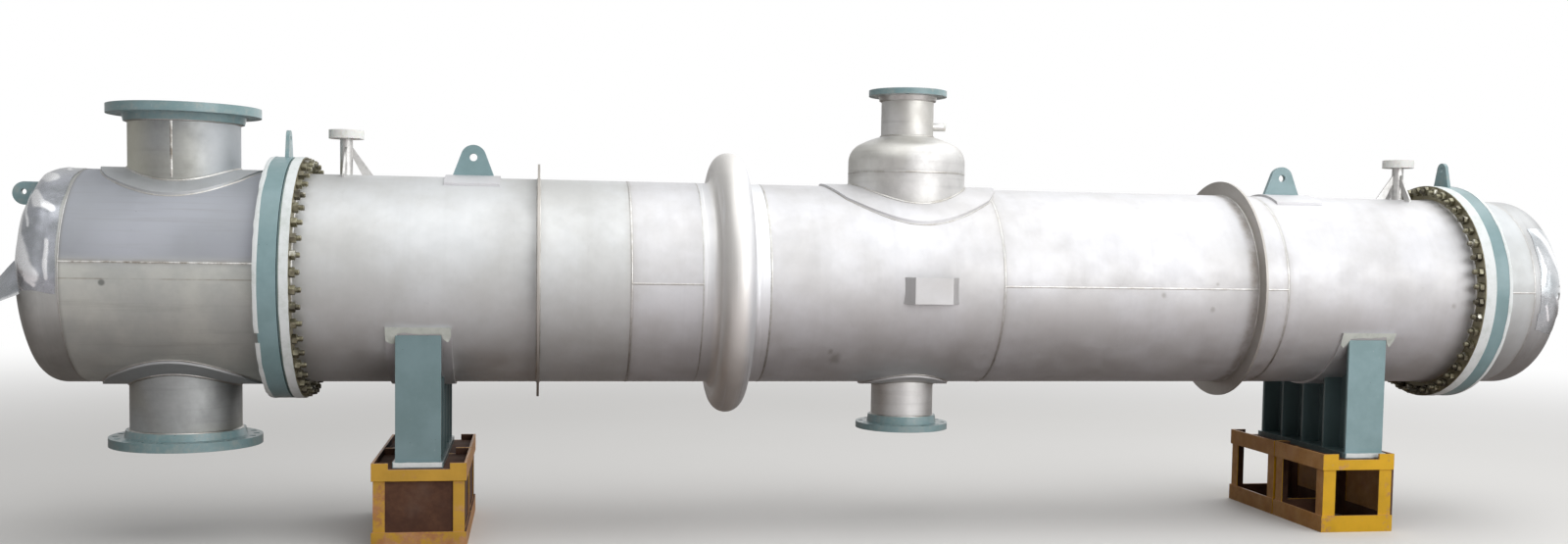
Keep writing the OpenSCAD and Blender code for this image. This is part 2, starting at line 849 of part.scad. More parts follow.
module top_lug(x) {
  sink = girth_r - sqrt(pow(girth_r, 2) - pow(top_lug_foot_w / 2, 2)) + lap;
  at_x(x) difference() {
    translate([-top_lug_t / 2, 0, girth_r + top_lug_h - top_lug_w / 2]) rotate([90, 0, 90])
      linear_extrude(top_lug_t)
      eye_plate(top_lug_w / 2, top_lug_foot_w, top_lug_w / 2 - top_lug_h - sink, small_eye);
    translate([-top_lug_t, 0, 0]) along_x() cylinder(r = girth_r, h = 2 * top_lug_t);
  }
}

// A plate on edge with a round free end, its foot cut to the head
module channel_head_lug() {
  difference() {
    at_x(left_end_x) translate([0, head_lug_t / 2 - head_lug_y, head_lug_z]) rotate([90, 0, 0])
      linear_extrude(head_lug_t) difference() {
        union() {
          translate([head_lug_h / 2, head_lug_h / 2]) circle(d = head_lug_h);
          translate([head_lug_h / 2, 0]) square([head_lug_reach + head_depth, head_lug_h]);
        }
        translate([head_lug_eye_x, head_lug_eye_z]) circle(d = small_eye, $fn = 48);
      }
    at_x(channel_seam_x) mirror([1, 0, 0]) along_x() rotate_extrude()
      head_section(shell_od, head_straight, head_form);
  }
}

module handling_lugs() {
  color(green) {
    channel_head_lug();
    top_lug((channel_flange_face_x + channel_flange_back_x) / 2 + top_lug_shift);
    top_lug((return_flange_face_x + return_flange_back_x) / 2 + top_lug_shift);
  }
}

module nameplate_bracket() {
  half = plate_length / 2;
  foot = half + 2 * plate_slant;
  face_y = -shell_r - plate_standoff;
  foot_y = -shell_r + plate_standoff;
  leg_t = plate_t * norm([plate_slant, plate_standoff]) / plate_standoff;
  inner_half = half + plate_slant * plate_t / plate_standoff - leg_t;
  color(steel) difference() {
    at_x(plate_x) translate([0, 0, plate_z - plate_height / 2]) linear_extrude(plate_height) difference() {
      polygon([[-half, face_y], [half, face_y], [foot, foot_y], [-foot, foot_y]]);
      polygon([
        [-inner_half, face_y + plate_t], [inner_half, face_y + plate_t],
        [foot - leg_t, foot_y], [foot - leg_t, foot_y + over],
        [leg_t - foot, foot_y + over], [leg_t - foot, foot_y]
      ]);
    }
    shell_bar(plate_x - shell_r, shell_od, shell_r);
  }
}

module wear_plates() {
  color(steel) for (x = [saddle_left_x, tubesheet_span - saddle_right_x]) {
    intersection() {
      shell_tube(x - wear_w / 2, wear_w, pad_r, shell_r);
      at_x(x) translate([-wear_w, -shell_od, -shell_od])
        cube([2 * wear_w, 2 * shell_od, shell_od + wear_top_z]);
    }
  }
}

// Base plate, web across the shell, two end ribs and three inner ribs
module saddle(x) {
  base_z = stand_height + base_t - axis_height;
  inner_y = (saddle_half_y - saddle_end_t / 2) / 2;
  height = -base_z;
  color(green) difference() {
    at_x(x) {
      translate([-base_w / 2, -base_l / 2, base_z - base_t]) cube([base_w, base_l, base_t]);
      translate([-saddle_web_t / 2, -saddle_half_y, base_z]) cube([saddle_web_t, 2 * saddle_half_y, height]);
      for (side = [-1, 1]) {
        translate([-saddle_rib_w / 2, side * (saddle_half_y - saddle_end_t / 2) - saddle_end_t / 2, base_z])
          cube([saddle_rib_w, saddle_end_t, height]);
      }
      for (y = [-inner_y, 0, inner_y]) {
        translate([-saddle_rib_w / 2, y - saddle_web_t / 2, base_z])
          cube([saddle_rib_w, saddle_web_t, height]);
      }
    }
    shell_bar(x - saddle_rib_w, 2 * saddle_rib_w, pad_r);
    at_x(x) translate([-saddle_rib_w, -shell_od, wear_top_z - pad_t])
      cube([2 * saddle_rib_w, 2 * shell_od, shell_od]);
  }
}

module left_saddle() {
  saddle(saddle_left_x);
}

module right_saddle() {
  saddle(tubesheet_span - saddle_right_x);
}

// An upright steel angle with its outer corner at the origin
module angle(leg, t, h) {
  linear_extrude(h) difference() {
    square(leg);
    translate([t, t]) square(leg);
  }
}

// Children at the four corners of a w by d rectangle, each turned to face its middle
module at_corners(w, d) {
  for (sx = [0, 1]) {
    for (sy = [0, 1]) {
      translate([sx * w, sy * d, 0]) mirror([sx, 0, 0]) mirror([0, sy, 0]) children();
    }
  }
}

// A rail all round a w by d rectangle
module rail(w, d, h) {
  difference() {
    cube([w, d, h]);
    translate([stand_plate_t, stand_plate_t, -over])
      cube([w - 2 * stand_plate_t, d - 2 * stand_plate_t, h + 2 * over]);
  }
}

// One stand w wide, centred on x, with its front at y0: corner angles, two rails, ears and a top plate.
// The top rail's two sides stand as high as the ears.
module stand(x, y0, w, post, ear) {
  d = stand_depth;
  ear_z = stand_height - stand_top_rail;
  at_x(x) translate([-w / 2, y0, -axis_height]) {
    color(yellow) translate([stand_post_inset, stand_post_inset, 0])
      at_corners(w - 2 * stand_post_inset, d - 2 * stand_post_inset) angle(post, stand_post_t, stand_height);
    color(yellow) rail(w, d, stand_bottom_rail);
    color(yellow) translate([0, 0, ear_z]) {
      rail(w, d, stand_top_rail);
      at_corners(w, d) angle(ear, stand_plate_t, stand_top_rail + stand_ear_rise);
      for (side_x = [0, w - stand_plate_t]) {
        translate([side_x, 0, 0]) cube([stand_plate_t, d, stand_top_rail + stand_ear_rise]);
      }
    }
    color(brown) translate([0, 0, stand_height - stand_plate_t]) cube([w, d, stand_plate_t]);
  }
}

// Sheets behind the posts that close a stand's four sides
module side_panels(x, y0, w) {
  inset = stand_post_inset + stand_post_t - lap;
  inner = inset + panel_t;
  color(brown) at_x(x) translate([-w / 2, y0, -axis_height]) difference() {
    translate([inset, inset, 0]) cube([w - 2 * inset, stand_depth - 2 * inset, stand_height]);
    translate([inner, inner, -over]) cube([w - 2 * inner, stand_depth - 2 * inner, stand_height]);
  }
}

// A plate outside the posts on the end that faces +X
module end_panel(x, y0, w) {
  inner_x = w / 2 - stand_post_inset - lap;
  color(brown) at_x(x) translate([inner_x, y0 + stand_post_inset, stand_bottom_rail - axis_height])
    cube([w / 2 + end_panel_reach - inner_x, stand_depth - 2 * stand_post_inset,
      stand_height - stand_top_rail - stand_bottom_rail]);
}

module left_stands() {
  x = saddle_left_x + stand_left_shift;
  for (y0 = [-stand_depth - stand_gap / 2, stand_gap / 2]) {
    stand(x, y0, stand_left_w, stand_left_post, stand_left_ear);
    side_panels(x, y0, stand_left_w);
  }
}

module right_stands() {
  x = tubesheet_span - saddle_right_x + stand_right_shift;
  for (y0 = [-stand_depth - stand_gap / 2, stand_gap / 2]) {
    stand(x, y0, stand_right_w, stand_right_post, stand_right_ear);
    end_panel(x, y0, stand_right_w);
  }
}

module return_tubesheet() {
  color(steel) shell_bar(tubesheet_span - tubesheet_t, tubesheet_t, girth_r);
}

module return_girth_flange() {
  color(green) girth_flange(return_flange_face_x);
}

module return_barrel() {
  color(steel) shell_tube(return_flange_face_x + girth_setback,
    return_length + girth_t - girth_setback, shell_r, shell_inner_r);
}

module return_head() {
  color(steel) at_x(return_seam_x) along_x() dished_head(shell_od, shell_wall, head_straight, head_form);
}

channel_head();
channel_barrel();
channel_nozzle_pads();
channel_top_neck();
channel_top_flange();
channel_bottom_neck();
channel_bottom_flange();
pass_partition();
channel_girth_flange();
girth_gaskets();
channel_tubesheet();
tube_bundle();
shell_course_1();
shell_course_2();
expansion_bellows();
shell_course_3();
shell_course_4();
shell_course_5();
stiffening_rings();
dome_pad();
dome_barrel();
dome_head();
dome_neck();
dome_flange();
instrument_boss();
bottom_nozzle_pad();
bottom_nozzle_neck();
bottom_nozzle_flange();
vent_necks();
vent_flanges();
vent_braces();
transport_caps();
lifting_lugs();
lug_pads();
handling_lugs();
nameplate_bracket();
wear_plates();
left_saddle();
right_saddle();
left_stands();
right_stands();
return_tubesheet();
return_girth_flange();
return_barrel();
return_head();
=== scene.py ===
"""Looks of the shell and tube heat exchanger: finishes, welds, studs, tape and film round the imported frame.

Metres, +X along the shell, -Y towards the camera, +Z up.
"""
import random
from math import asin, cos, dist, exp, hypot, pi, radians, sin, sqrt, tan, tau

import bmesh
import bpy
from mathutils import Matrix, Vector, noise


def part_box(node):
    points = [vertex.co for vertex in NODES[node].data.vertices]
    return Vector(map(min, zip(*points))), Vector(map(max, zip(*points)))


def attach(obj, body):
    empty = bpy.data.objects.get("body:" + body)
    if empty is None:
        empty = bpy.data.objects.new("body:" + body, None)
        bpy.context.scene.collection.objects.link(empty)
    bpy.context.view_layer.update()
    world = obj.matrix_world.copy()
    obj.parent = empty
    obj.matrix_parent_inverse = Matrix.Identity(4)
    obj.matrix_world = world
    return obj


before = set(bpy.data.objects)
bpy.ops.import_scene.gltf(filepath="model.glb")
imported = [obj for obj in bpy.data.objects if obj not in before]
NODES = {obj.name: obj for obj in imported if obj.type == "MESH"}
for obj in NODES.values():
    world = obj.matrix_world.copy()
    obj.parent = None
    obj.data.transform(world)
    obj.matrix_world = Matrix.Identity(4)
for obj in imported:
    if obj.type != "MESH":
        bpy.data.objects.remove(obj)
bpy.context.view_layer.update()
MM = 0.001


# Places and sizes, read from the frame

def low(node):
    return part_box(node)[0]


def high(node):
    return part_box(node)[1]


def middle(node):
    return (low(node) + high(node)) / 2


AXIS_Z = middle("channel_tubesheet").z
SHELL_R = high("shell_course_1").y
PAD_R = AXIS_Z - low("wear_plates").z
GIRTH_R = high("channel_tubesheet").y
CHANNEL_X = middle("channel_top_neck").x
CHANNEL_NECK_R = high("channel_top_neck").y
DOME_X = middle("dome_barrel").x
DOME_R = high("dome_barrel").y
DOME_NECK_R = high("dome_neck").y
BOTTOM_NECK_R = high("bottom_nozzle_neck").y


# Sizes of the solids that their boxes don't tell

STAND_DEPTH = 515 * MM
STAND_W = {"left_stands": 434 * MM, "right_stands": 404 * MM}
STAND_H = 381 * MM
STAND_TOP_RAIL = 54 * MM
STAND_BOTTOM_RAIL = 86 * MM
STAND_BAR_T = 11.5 * MM
STAND_END_BAR_T = 8.2 * MM
STAND_POST_TOP = 90 * MM
RING_T = 12 * MM
DOME_DISC_T = 32 * MM
BASE_PLATE_T = 28 * MM


# The camera of the photograph, in its 1600 by 555 frame

FRAME_W, FRAME_H = 1600, 555
FOCAL_PX = 1497.4
CENTRE_PX = (817.2, 334.1)
CAMERA_AT = Vector((-1.559, -7.518, 1.467))
CAMERA_YAW, CAMERA_PITCH, CAMERA_ROLL = 0.1786, -0.0576, 0.0168
SENSOR_MM = 36


def add_camera():
    cos_y, sin_y = cos(CAMERA_YAW), sin(CAMERA_YAW)
    ahead = Vector((sin_y * cos(CAMERA_PITCH), cos_y * cos(CAMERA_PITCH), sin(CAMERA_PITCH)))
    level = Vector((cos_y, -sin_y, 0))
    upright = level.cross(ahead)
    right = level * cos(CAMERA_ROLL) + upright * sin(CAMERA_ROLL)
    up = upright * cos(CAMERA_ROLL) - level * sin(CAMERA_ROLL)
    data = bpy.data.cameras.new("camera")
    data.sensor_width = SENSOR_MM
    data.lens = FOCAL_PX / FRAME_W * SENSOR_MM
    data.shift_x = (FRAME_W / 2 - CENTRE_PX[0]) / FRAME_W
    data.shift_y = (CENTRE_PX[1] - FRAME_H / 2) / FRAME_W
    data.clip_end = 200
    camera = bpy.data.objects.new("camera", data)
    turn = Matrix((right, up, -ahead)).transposed().to_4x4()
    camera.matrix_world = Matrix.Translation(CAMERA_AT) @ turn
    bpy.context.scene.collection.objects.link(camera)
    bpy.context.scene.camera = camera


# Node trees

class Nodes:
    """The node tree of a world or a material, with short ways to add to it."""

    def __init__(self, owner):
        owner.use_nodes = True
        self.tree = owner.node_tree

    def add(self, kind, **inputs):
        node = self.tree.nodes.new("ShaderNode" + kind)
        self.fill(node, inputs)
        return node

    def fill(self, node, inputs):
        """Sets inputs by their names, with _ for a space, to values or to other nodes' outputs."""
        for key, value in inputs.items():
            self.feed(node.inputs[key.replace("_", " ")], value)

    def feed(self, target, value):
        if isinstance(value, bpy.types.NodeSocket):
            self.tree.links.new(value, target)
        else:
            target.default_value = value

    def steps(self, value, start, end, low_out=0.0, high_out=1.0):
        """Goes smoothly from low_out to high_out while value goes from start to end."""
        node = self.add("MapRange", Value=value, From_Min=start, From_Max=end,
                        To_Min=low_out, To_Max=high_out)
        node.interpolation_type = "SMOOTHSTEP"
        return node.outputs["Result"]


class Tree(Nodes):
    """One material's tree, with the Principled shader in place."""

    def __init__(self, name):
        self.material = bpy.data.materials.new(name)
        super().__init__(self.material)
        self.tree.nodes.clear()
        self.out = self.add("OutputMaterial")
        self.shader = self.add("BsdfPrincipled")
        self.feed(self.out.inputs[0], self.shader.outputs[0])
        self.place = self.add("TexCoord").outputs["Object"]

    def axis(self, name):
        return self.add("SeparateXYZ", Vector=self.place).outputs[name]

    def noise(self, scale, detail=2, rough=0.5, stretch=None, distortion=0):
        place = self.add("Mapping", Vector=self.place, Scale=stretch).outputs[0] if stretch else self.place
        node = self.add("TexNoise", Vector=place, Scale=scale, Detail=detail, Roughness=rough,
                        Distortion=distortion)
        return node.outputs["Fac"]

    def math(self, operation, a, b=0.0):
        node = self.add("Math")
        node.operation = operation
        self.feed(node.inputs[0], a)
        self.feed(node.inputs[1], b)
        return node.outputs[0]

    def times(self, a, b):
        return self.math("MULTIPLY", a, b)

    def plus(self, a, b):
        return self.math("ADD", a, b)

    def away(self, value, centre):
        """How far value is from centre, on either side."""
        return self.math("ABSOLUTE", self.math("SUBTRACT", value, centre))

    def near(self, value, centre, half_width):
        """1 at centre, falling smoothly to 0 at half_width away."""
        return self.steps(self.away(value, centre), half_width, 0.0)

    def inside(self, value, centre, half_width):
        """1 up to half_width from centre, and 0 beyond."""
        return self.math("LESS_THAN", self.away(value, centre), half_width)

    def distance_to(self, x, z):
        """How far the front of the shell is from a spot given by its X and Z."""
        across, up = self.away(self.axis("X"), x), self.away(self.axis("Z"), z)
        square = self.plus(self.times(across, across), self.times(up, up))
        return self.plus(self.math("SQRT", square), self.steps(self.axis("Y"), -0.1, 0.0))

    def patches(self, low_out, high_out, *texture):
        """A value that changes from patch to patch between two."""
        return self.steps(self.noise(*texture), 0.3, 0.7, low_out, high_out)

    def mix(self, share, a, b):
        """Colour a with a share of colour b."""
        node = self.add("Mix")
        node.data_type = "RGBA"
        self.feed(node.inputs["Factor"], share)
        for socket, value in zip([s for s in node.inputs if s.type == "RGBA"], (a, b)):
            self.feed(socket, value if isinstance(value, bpy.types.NodeSocket) else (*value, 1))
        return [s for s in node.outputs if s.type == "RGBA"][0]

    def tint(self, a, b, value, start, end, most=1.0):
        """Colour a with colour b over it, setting in while value goes from start to end."""
        return self.mix(self.steps(value, start, end, 0.0, most), a, b)

    def lay(self, a, b, cover, most):
        """Colour a with colour b over it where cover is, at most so much."""
        return self.mix(self.times(cover, most), a, b)

    def clouds(self, a, b, *texture, start=0.35, end=0.7):
        """Colour a with clouds of colour b."""
        return self.tint(a, b, self.noise(*texture), start, end)

    def bump(self, height, depth, strength, under=None):
        """Relief of a depth in millimetres, over the relief under it."""
        node = self.add("Bump", Height=height, Distance=depth * MM, Strength=strength)
        if under:
            self.feed(node.inputs["Normal"], under)
        return node.outputs[0]

    def soft_edges(self, radius=1.5):
        """Rounded edges of a radius in millimetres."""
        node = self.add("Bevel", Radius=radius * MM)
        node.samples = 4
        return node.outputs[0]

    def finish(self, colour, rough, metallic, normal=None, **more):
        self.fill(self.shader, {"Base Color": colour, "Roughness": rough, "Metallic": metallic, **more})
        if normal:
            self.feed(self.shader.inputs["Normal"], normal)
        return self.material


def shaded(colour, share):
    return tuple(c * share for c in colour)


# Steel

CHANNEL_SEAM_DEG = 8.5
CHANNEL_SPOT = (-3.475, AXIS_Z - 17 * MM)
CHANNEL_SPOT_FADE = (20 * MM, 8 * MM)
CHANNEL_LOWER_LIGHT_FADE = (AXIS_Z + 120 * MM, AXIS_Z + 40 * MM)
CHANNEL_END_W = 20 * MM
SEAM_TINT_W, SEAM_HEAT_W = 42 * MM, 13 * MM
DOME_SEAM_W = 24 * MM
SHEET_EDGE_W = 11 * MM
RING_SHADOW_W = 46 * MM
# Where the painted highlights on the bellows' lobe and right flank set in.
CREST_HIGHLIGHT_FADE = (125 * MM, 85 * MM)
FLANK_HIGHLIGHT_FADE = (10 * MM, 60 * MM)


def steel(name, colour, rough, seams=(), stains=(), shadows=()):
    """Bead-blasted stainless plate: soft clouds, faint hoops from rolling, a tinted band at each seam."""
    tree = Tree(name)
    shade = tuple(c * k for c, k in zip(colour, (0.88, 0.87, 0.85)))
    tone = tree.clouds(shade, colour, 2.2, 5, 0.6, end=0.68)
    hoops = tree.noise(1.0, 3, 0.7, stretch=(17, 0.35, 0.35))
    tone = tree.tint(tone, shaded(shade, 0.78), hoops, 0.42, 0.75, 0.09)
    grime = tree.noise(8, 7, 0.72, distortion=0.5)
    tone = tree.tint(tone, shaded(shade, 0.66), grime, 0.60, 0.82, 0.30)
    along = tree.axis("X")
    patchy = tree.patches(0.25, 1.0, 11, 4, 0.7)
    for x in seams:
        wide = tree.times(tree.near(along, x, SEAM_TINT_W), 0.22)
        tone = tree.lay(tone, (0.34, 0.31, 0.27), wide, patchy)
        tone = tree.lay(tone, (0.30, 0.28, 0.26), tree.near(along, x, SEAM_HEAT_W), 0.45)
    for x in shadows:
        band = tree.times(tree.near(along, x, RING_SHADOW_W), patchy)
        tone = tree.lay(tone, (0.30, 0.26, 0.22), band, 0.75)
    for x, z, r in stains:
        spread = tree.plus(tree.distance_to(x, z), tree.times(tree.noise(30, 4, 0.6), r * 0.9))
        tone = tree.tint(tone, (0.25, 0.23, 0.20), spread, r * 1.4, r * 0.5, 0.42)
    dents = tree.bump(tree.noise(9, 2, 0.5), 1.5, 0.4, tree.soft_edges())
    normal = tree.bump(tree.noise(900, 2, 0.6), 0.25, 0.35, dents)
    return tree.finish(tone, tree.patches(rough - 0.05, rough + 0.07, 5, 4, 0.7), 1.0, normal)


def bellows_steel():
    """The formed bellows: a painted highlight on its lobe, and a paler right flank with painted pale
    highlights and dark reflections in streaks round it.
    """
    tree = Tree("bellows_steel")
    along = tree.axis("X")
    centre = middle("expansion_bellows").x
    lobe = tree.away(along, centre)
    # Painted highlight on the lobe.
    tone = tree.tint((0.70, 0.705, 0.72), (0.80, 0.785, 0.76), lobe, *CREST_HIGHLIGHT_FADE)
    # Painted highlight on the right flank.
    right = tree.steps(along, *(centre + past for past in FLANK_HIGHLIGHT_FADE))
    tone = tree.mix(right, tone, (0.78, 0.79, 0.81))
    tone = tree.mix(tree.steps(tree.noise(3, 5, 0.6), 0.35, 0.68, 0.25, 0.0), tone, (0.60, 0.59, 0.58))
    # Painted dark reflections and pale highlights in streaks round the right flank.
    streaks = tree.noise(1.0, 3, 0.75, stretch=(60, 1.6, 1.6))
    dark = tree.times(tree.steps(streaks, 0.55, 0.70), tree.times(right, 0.45))
    tone = tree.mix(dark, tone, (0.47, 0.465, 0.475))
    tone = tree.tint(tone, (0.90, 0.90, 0.91), streaks, 0.42, 0.32, 0.45)
    normal = tree.bump(streaks, 1.0, 0.35, tree.soft_edges())
    normal = tree.bump(tree.noise(900, 2, 0.6), 0.25, 0.3, normal)
    return tree.finish(tone, tree.patches(0.50, 0.60, 5, 4, 0.7), 1.0, normal)


def mill_steel():
    """The channel's plate as it left the mill: duller and smoother, with tint beside its long weld, and a
    paler lower half that is partly dust and partly painted light.
    """
    tree = Tree("mill_steel")
    up = tree.axis("Z")
    tone = tree.clouds((0.41, 0.425, 0.455), (0.49, 0.505, 0.545), 3, 5, 0.6)
    # Paler lower half: partly dust, partly painted light.
    dust_and_light = tree.clouds((0.53, 0.54, 0.52), (0.63, 0.635, 0.60), 4, 5, 0.6)
    tone = tree.tint(tone, dust_and_light, up, *CHANNEL_LOWER_LIGHT_FADE)
    streaks = tree.noise(1.0, 4, 0.7, stretch=(1.3, 26, 26))
    tone = tree.tint(tone, (0.30, 0.295, 0.27), streaks, 0.5, 0.8, 0.28)
    tone = tree.tint(tone, (0.22, 0.22, 0.20), tree.noise(24, 3, 0.6), 0.72, 0.80, 0.5)
    front = tree.steps(tree.axis("Y"), 0.0, -0.1)
    patchy = tree.steps(tree.noise(7, 4, 0.7), 0.35, 0.6, 0.15, 1.0)
    for degrees, width, amount in ((CHANNEL_SEAM_DEG, 20 * MM, 0.35), (0, 5 * MM, 0.55)):
        band = tree.near(up, AXIS_Z + SHELL_R * sin(radians(degrees)), width)
        band = tree.times(tree.times(band, front), patchy)
        tone = tree.lay(tone, (0.26, 0.21, 0.15), band, amount)
    end = tree.near(tree.axis("X"), low("channel_barrel").x, CHANNEL_END_W)
    tone = tree.lay(tone, (0.24, 0.23, 0.21), end, 0.5)
    tone = tree.tint(tone, (0.16, 0.17, 0.16), tree.distance_to(*CHANNEL_SPOT), *CHANNEL_SPOT_FADE, 0.7)
    waves = tree.noise(3.5, 2, 0.5, stretch=(1, 0.6, 1.6))
    normal = tree.bump(waves, 6, 0.5, tree.soft_edges())
    normal = tree.bump(tree.noise(400, 2, 0.6), 0.2, 0.3, normal)
    return tree.finish(tone, tree.patches(0.66, 0.76, 6, 4, 0.7), 1.0, normal)


def head_steel(name, light, dark):
    """Pressed head: mill finish with hoops from spinning and soft waves."""
    tree = Tree(name)
    tone = tree.clouds(dark, light, 4, 5, 0.65)
    hoops = tree.noise(1.0, 3, 0.6, stretch=(26, 1.4, 1.4))
    tone = tree.tint(tone, shaded(dark, 0.7), hoops, 0.50, 0.72, 0.22)
    folds = tree.noise(1.0, 3, 0.5, stretch=(9, 2.5, 2.5), distortion=0.8)
    normal = tree.bump(tree.noise(300, 2, 0.6), 0.2, 0.3, tree.bump(folds, 4, 0.4))
    return tree.finish(tone, tree.steps(hoops, 0.4, 0.7, 0.50, 0.60), 1.0, normal)


def tool_lines(tree):
    lines = tree.noise(1.0, 2, 0.6, stretch=(700, 700, 60))
    return tree.bump(lines, 0.2, 0.3, tree.soft_edges())


def machined_steel(name, colour, rough):
    """Turned or cut stainless: fine tool lines and light handling marks."""
    tree = Tree(name)
    tone = tree.clouds(colour, shaded(colour, 0.74), 30, 5, 0.7, start=0.4, end=0.75)
    return tree.finish(tone, tree.patches(rough - 0.06, rough + 0.12, 12, 3, 0.6), 1.0, tool_lines(tree))


def drawn_steel(name, colour, rough, seam_z=None, lit_flanks=()):
    """Nozzle and dome plate in its mill finish: level bands, brushed streaks and warm clouds.

    Its last argument gives painted light: paler tones painted on the channel neck's left and right sides."""
    tree = Tree(name)
    tone = tree.clouds(colour, shaded(colour, 0.80), 5, 5, 0.65)
    bands = tree.noise(1.0, 3, 0.6, stretch=(1.5, 1.5, 42))
    tone = tree.tint(tone, shaded(colour, 0.66), bands, 0.48, 0.75, 0.35)
    tone = tree.tint(tone, shaded(colour, 0.45), tree.noise(34, 3, 0.6), 0.73, 0.79, 0.6)
    tone = tree.tint(tone, (0.56, 0.54, 0.44), tree.noise(2.5, 2, 0.5), 0.4, 0.6, 0.25)
    if seam_z:
        ragged = tree.steps(tree.noise(18, 4, 0.6), 0.3, 0.6, 0.10, 0.35)
        tone = tree.lay(tone, shaded(colour, 0.55), tree.near(tree.axis("Z"), seam_z, DOME_SEAM_W), ragged)
    # Painted light: the neck's left and right sides made paler.
    for lit_flank, way in zip(lit_flanks, (-CHANNEL_NECK_R, CHANNEL_NECK_R)):
        tone = tree.tint(tone, lit_flank, tree.axis("X"), CHANNEL_X + 0.25 * way, CHANNEL_X + 0.80 * way, 0.75)
    dents = tree.bump(tree.noise(7, 2, 0.5), 3, 0.5, tree.soft_edges())
    normal = tree.bump(tree.noise(1.0, 3, 0.7, stretch=(60, 60, 900)), 0.3, 0.3, dents)
    return tree.finish(tone, tree.patches(rough - 0.06, rough + 0.1, 8, 4, 0.7), 1.0, normal)


def tubesheet_steel():
    """Turned forging, khaki with preservative on its bolting face, paint run over at the gasket's edge."""
    tree = Tree("tubesheet_steel")
    tone = tree.clouds((0.33, 0.30, 0.20), (0.20, 0.18, 0.12), 16, 5, 0.7)
    for edge in (low("channel_tubesheet").x, high("return_tubesheet").x):
        tone = tree.mix(tree.near(tree.axis("X"), edge, SHEET_EDGE_W), tone, (0.17, 0.26, 0.265))
    return tree.finish(tone, tree.patches(0.38, 0.55, 12, 3, 0.6), 0.55, tool_lines(tree))


def bolt_metal():
    """Studs and nuts with a worn olive plating: pale where it is rubbed, dark in the threads."""
    tree = Tree("stud_metal")
    tone = tree.clouds((0.20, 0.185, 0.125), (0.36, 0.345, 0.25), 45, 3, 0.6)
    tone = tree.clouds(tone, (0.11, 0.10, 0.075), 11, 2, 0.5, start=0.42, end=0.65)
    tone = tree.clouds(tone, (0.55, 0.54, 0.48), 17, 2, 0.5, start=0.62, end=0.70)
    normal = tree.bump(tree.noise(500, 2, 0.5), 0.15, 0.5, tree.soft_edges(0.8))
    return tree.finish(tone, tree.patches(0.24, 0.45, 30, 3, 0.6), 0.9, normal)


def weld_metal(name, light, dark, scale=26):
    """Weld bead, bright with straw and brown heat tint."""
    tree = Tree(name)
    tone = tree.clouds(light, dark, scale, 5, 0.7, start=0.38, end=0.66)
    normal = tree.bump(tree.noise(600, 3, 0.6), 0.3, 0.5)
    return tree.finish(tone, tree.patches(0.32, 0.5, 40, 3, 0.6), 1.0, normal)


# Paint

GREENS = ((0.200, 0.312, 0.325), (0.240, 0.362, 0.385))
# Painted shade inside the saddles: its colour, how far in from a saddle's ends it starts, and over how much
# it sets in.
RECESS_SHADE = (0.030, 0.046, 0.044)
RECESS_SHADE_INSET, RECESS_SHADE_FADE = 25 * MM, 12 * MM


def green_paint(name, dust_and_light_amount, bare_below=None, shade=1.0, painted_shade_within=None):
    """Grey-green enamel over plate: orange peel, runs, chips, and dust with pale specks, partly real and
    partly painted highlights; bare steel below a height.

    With the last argument, the plates nearer the middle plane than that are darkened with painted shade, as
    dark as the deep shadow inside a saddle."""
    tree = Tree(name)
    # shade scales both greens: below 1 it is painted shade, above 1 painted light.
    thin, thick = (shaded(colour, shade) for colour in GREENS)
    # Dust clouds and pale specks: partly dust, partly painted highlights.
    dust_and_light = tree.noise(22, 6, 0.75)
    tone = tree.tint(tree.clouds(thin, thick, 6, 4, 0.6), (0.36, 0.40, 0.38), dust_and_light,
                     0.62 - 0.2 * dust_and_light_amount, 0.85 - 0.1 * dust_and_light_amount, 0.4 + 0.3 * dust_and_light_amount)
    tone = tree.tint(tone, (0.10, 0.12, 0.12), tree.noise(75, 3, 0.5), 0.735, 0.75)
    tone = tree.tint(tone, (0.50, 0.54, 0.53), tree.noise(48, 3, 0.6), 0.72, 0.76, 0.8)
    runs = tree.noise(1.0, 2, 0.5, stretch=(40, 40, 5))
    normal = tree.bump(runs, 0.6, 0.4, tree.soft_edges(2.5))
    normal = tree.bump(tree.noise(160, 2, 0.5), 0.25, 0.4, normal)
    # Painted shade on the plates inside the saddle.
    if painted_shade_within:
        inward = tree.math("ABSOLUTE", tree.axis("Y"))
        tone = tree.tint(tone, RECESS_SHADE, inward, painted_shade_within, painted_shade_within - RECESS_SHADE_FADE, 0.68)
    bare = 0.0
    if bare_below:
        bare = tree.steps(tree.axis("Z"), bare_below + 2 * MM, bare_below - 2 * MM)
        tone = tree.mix(bare, tone, tree.tint((0.62, 0.61, 0.59), (0.46, 0.45, 0.43), dust_and_light, 0.4, 0.7))
    return tree.finish(tone, tree.steps(dust_and_light, 0.4, 0.8, 0.30, 0.55), bare, normal,
                       Coat_Weight=0.0 if bare_below else 0.25, Coat_Roughness=0.2)


def stand_panels(tree, node):
    """1 on the sheet panels inside a pair of stands' frames."""
    x, y, z = tree.axis("X"), tree.axis("Y"), tree.axis("Z")
    half_w, half_depth = STAND_W[node] / 2, STAND_DEPTH / 2
    centre_x = low(node).x + half_w
    centre_y = high(node).y - half_depth
    in_x = tree.inside(x, centre_x, half_w - STAND_BAR_T)
    in_y = tree.inside(tree.math("ABSOLUTE", y), centre_y, half_depth - STAND_BAR_T)
    past = tree.math("GREATER_THAN", x, centre_x + half_w - STAND_END_BAR_T)
    half_h = (STAND_H - STAND_TOP_RAIL - STAND_BOTTOM_RAIL) / 2
    at_end = tree.times(past, tree.inside(z, STAND_BOTTOM_RAIL + half_h, half_h + 0.2 * MM))
    return tree.math("MAXIMUM", tree.times(in_x, in_y), at_end)


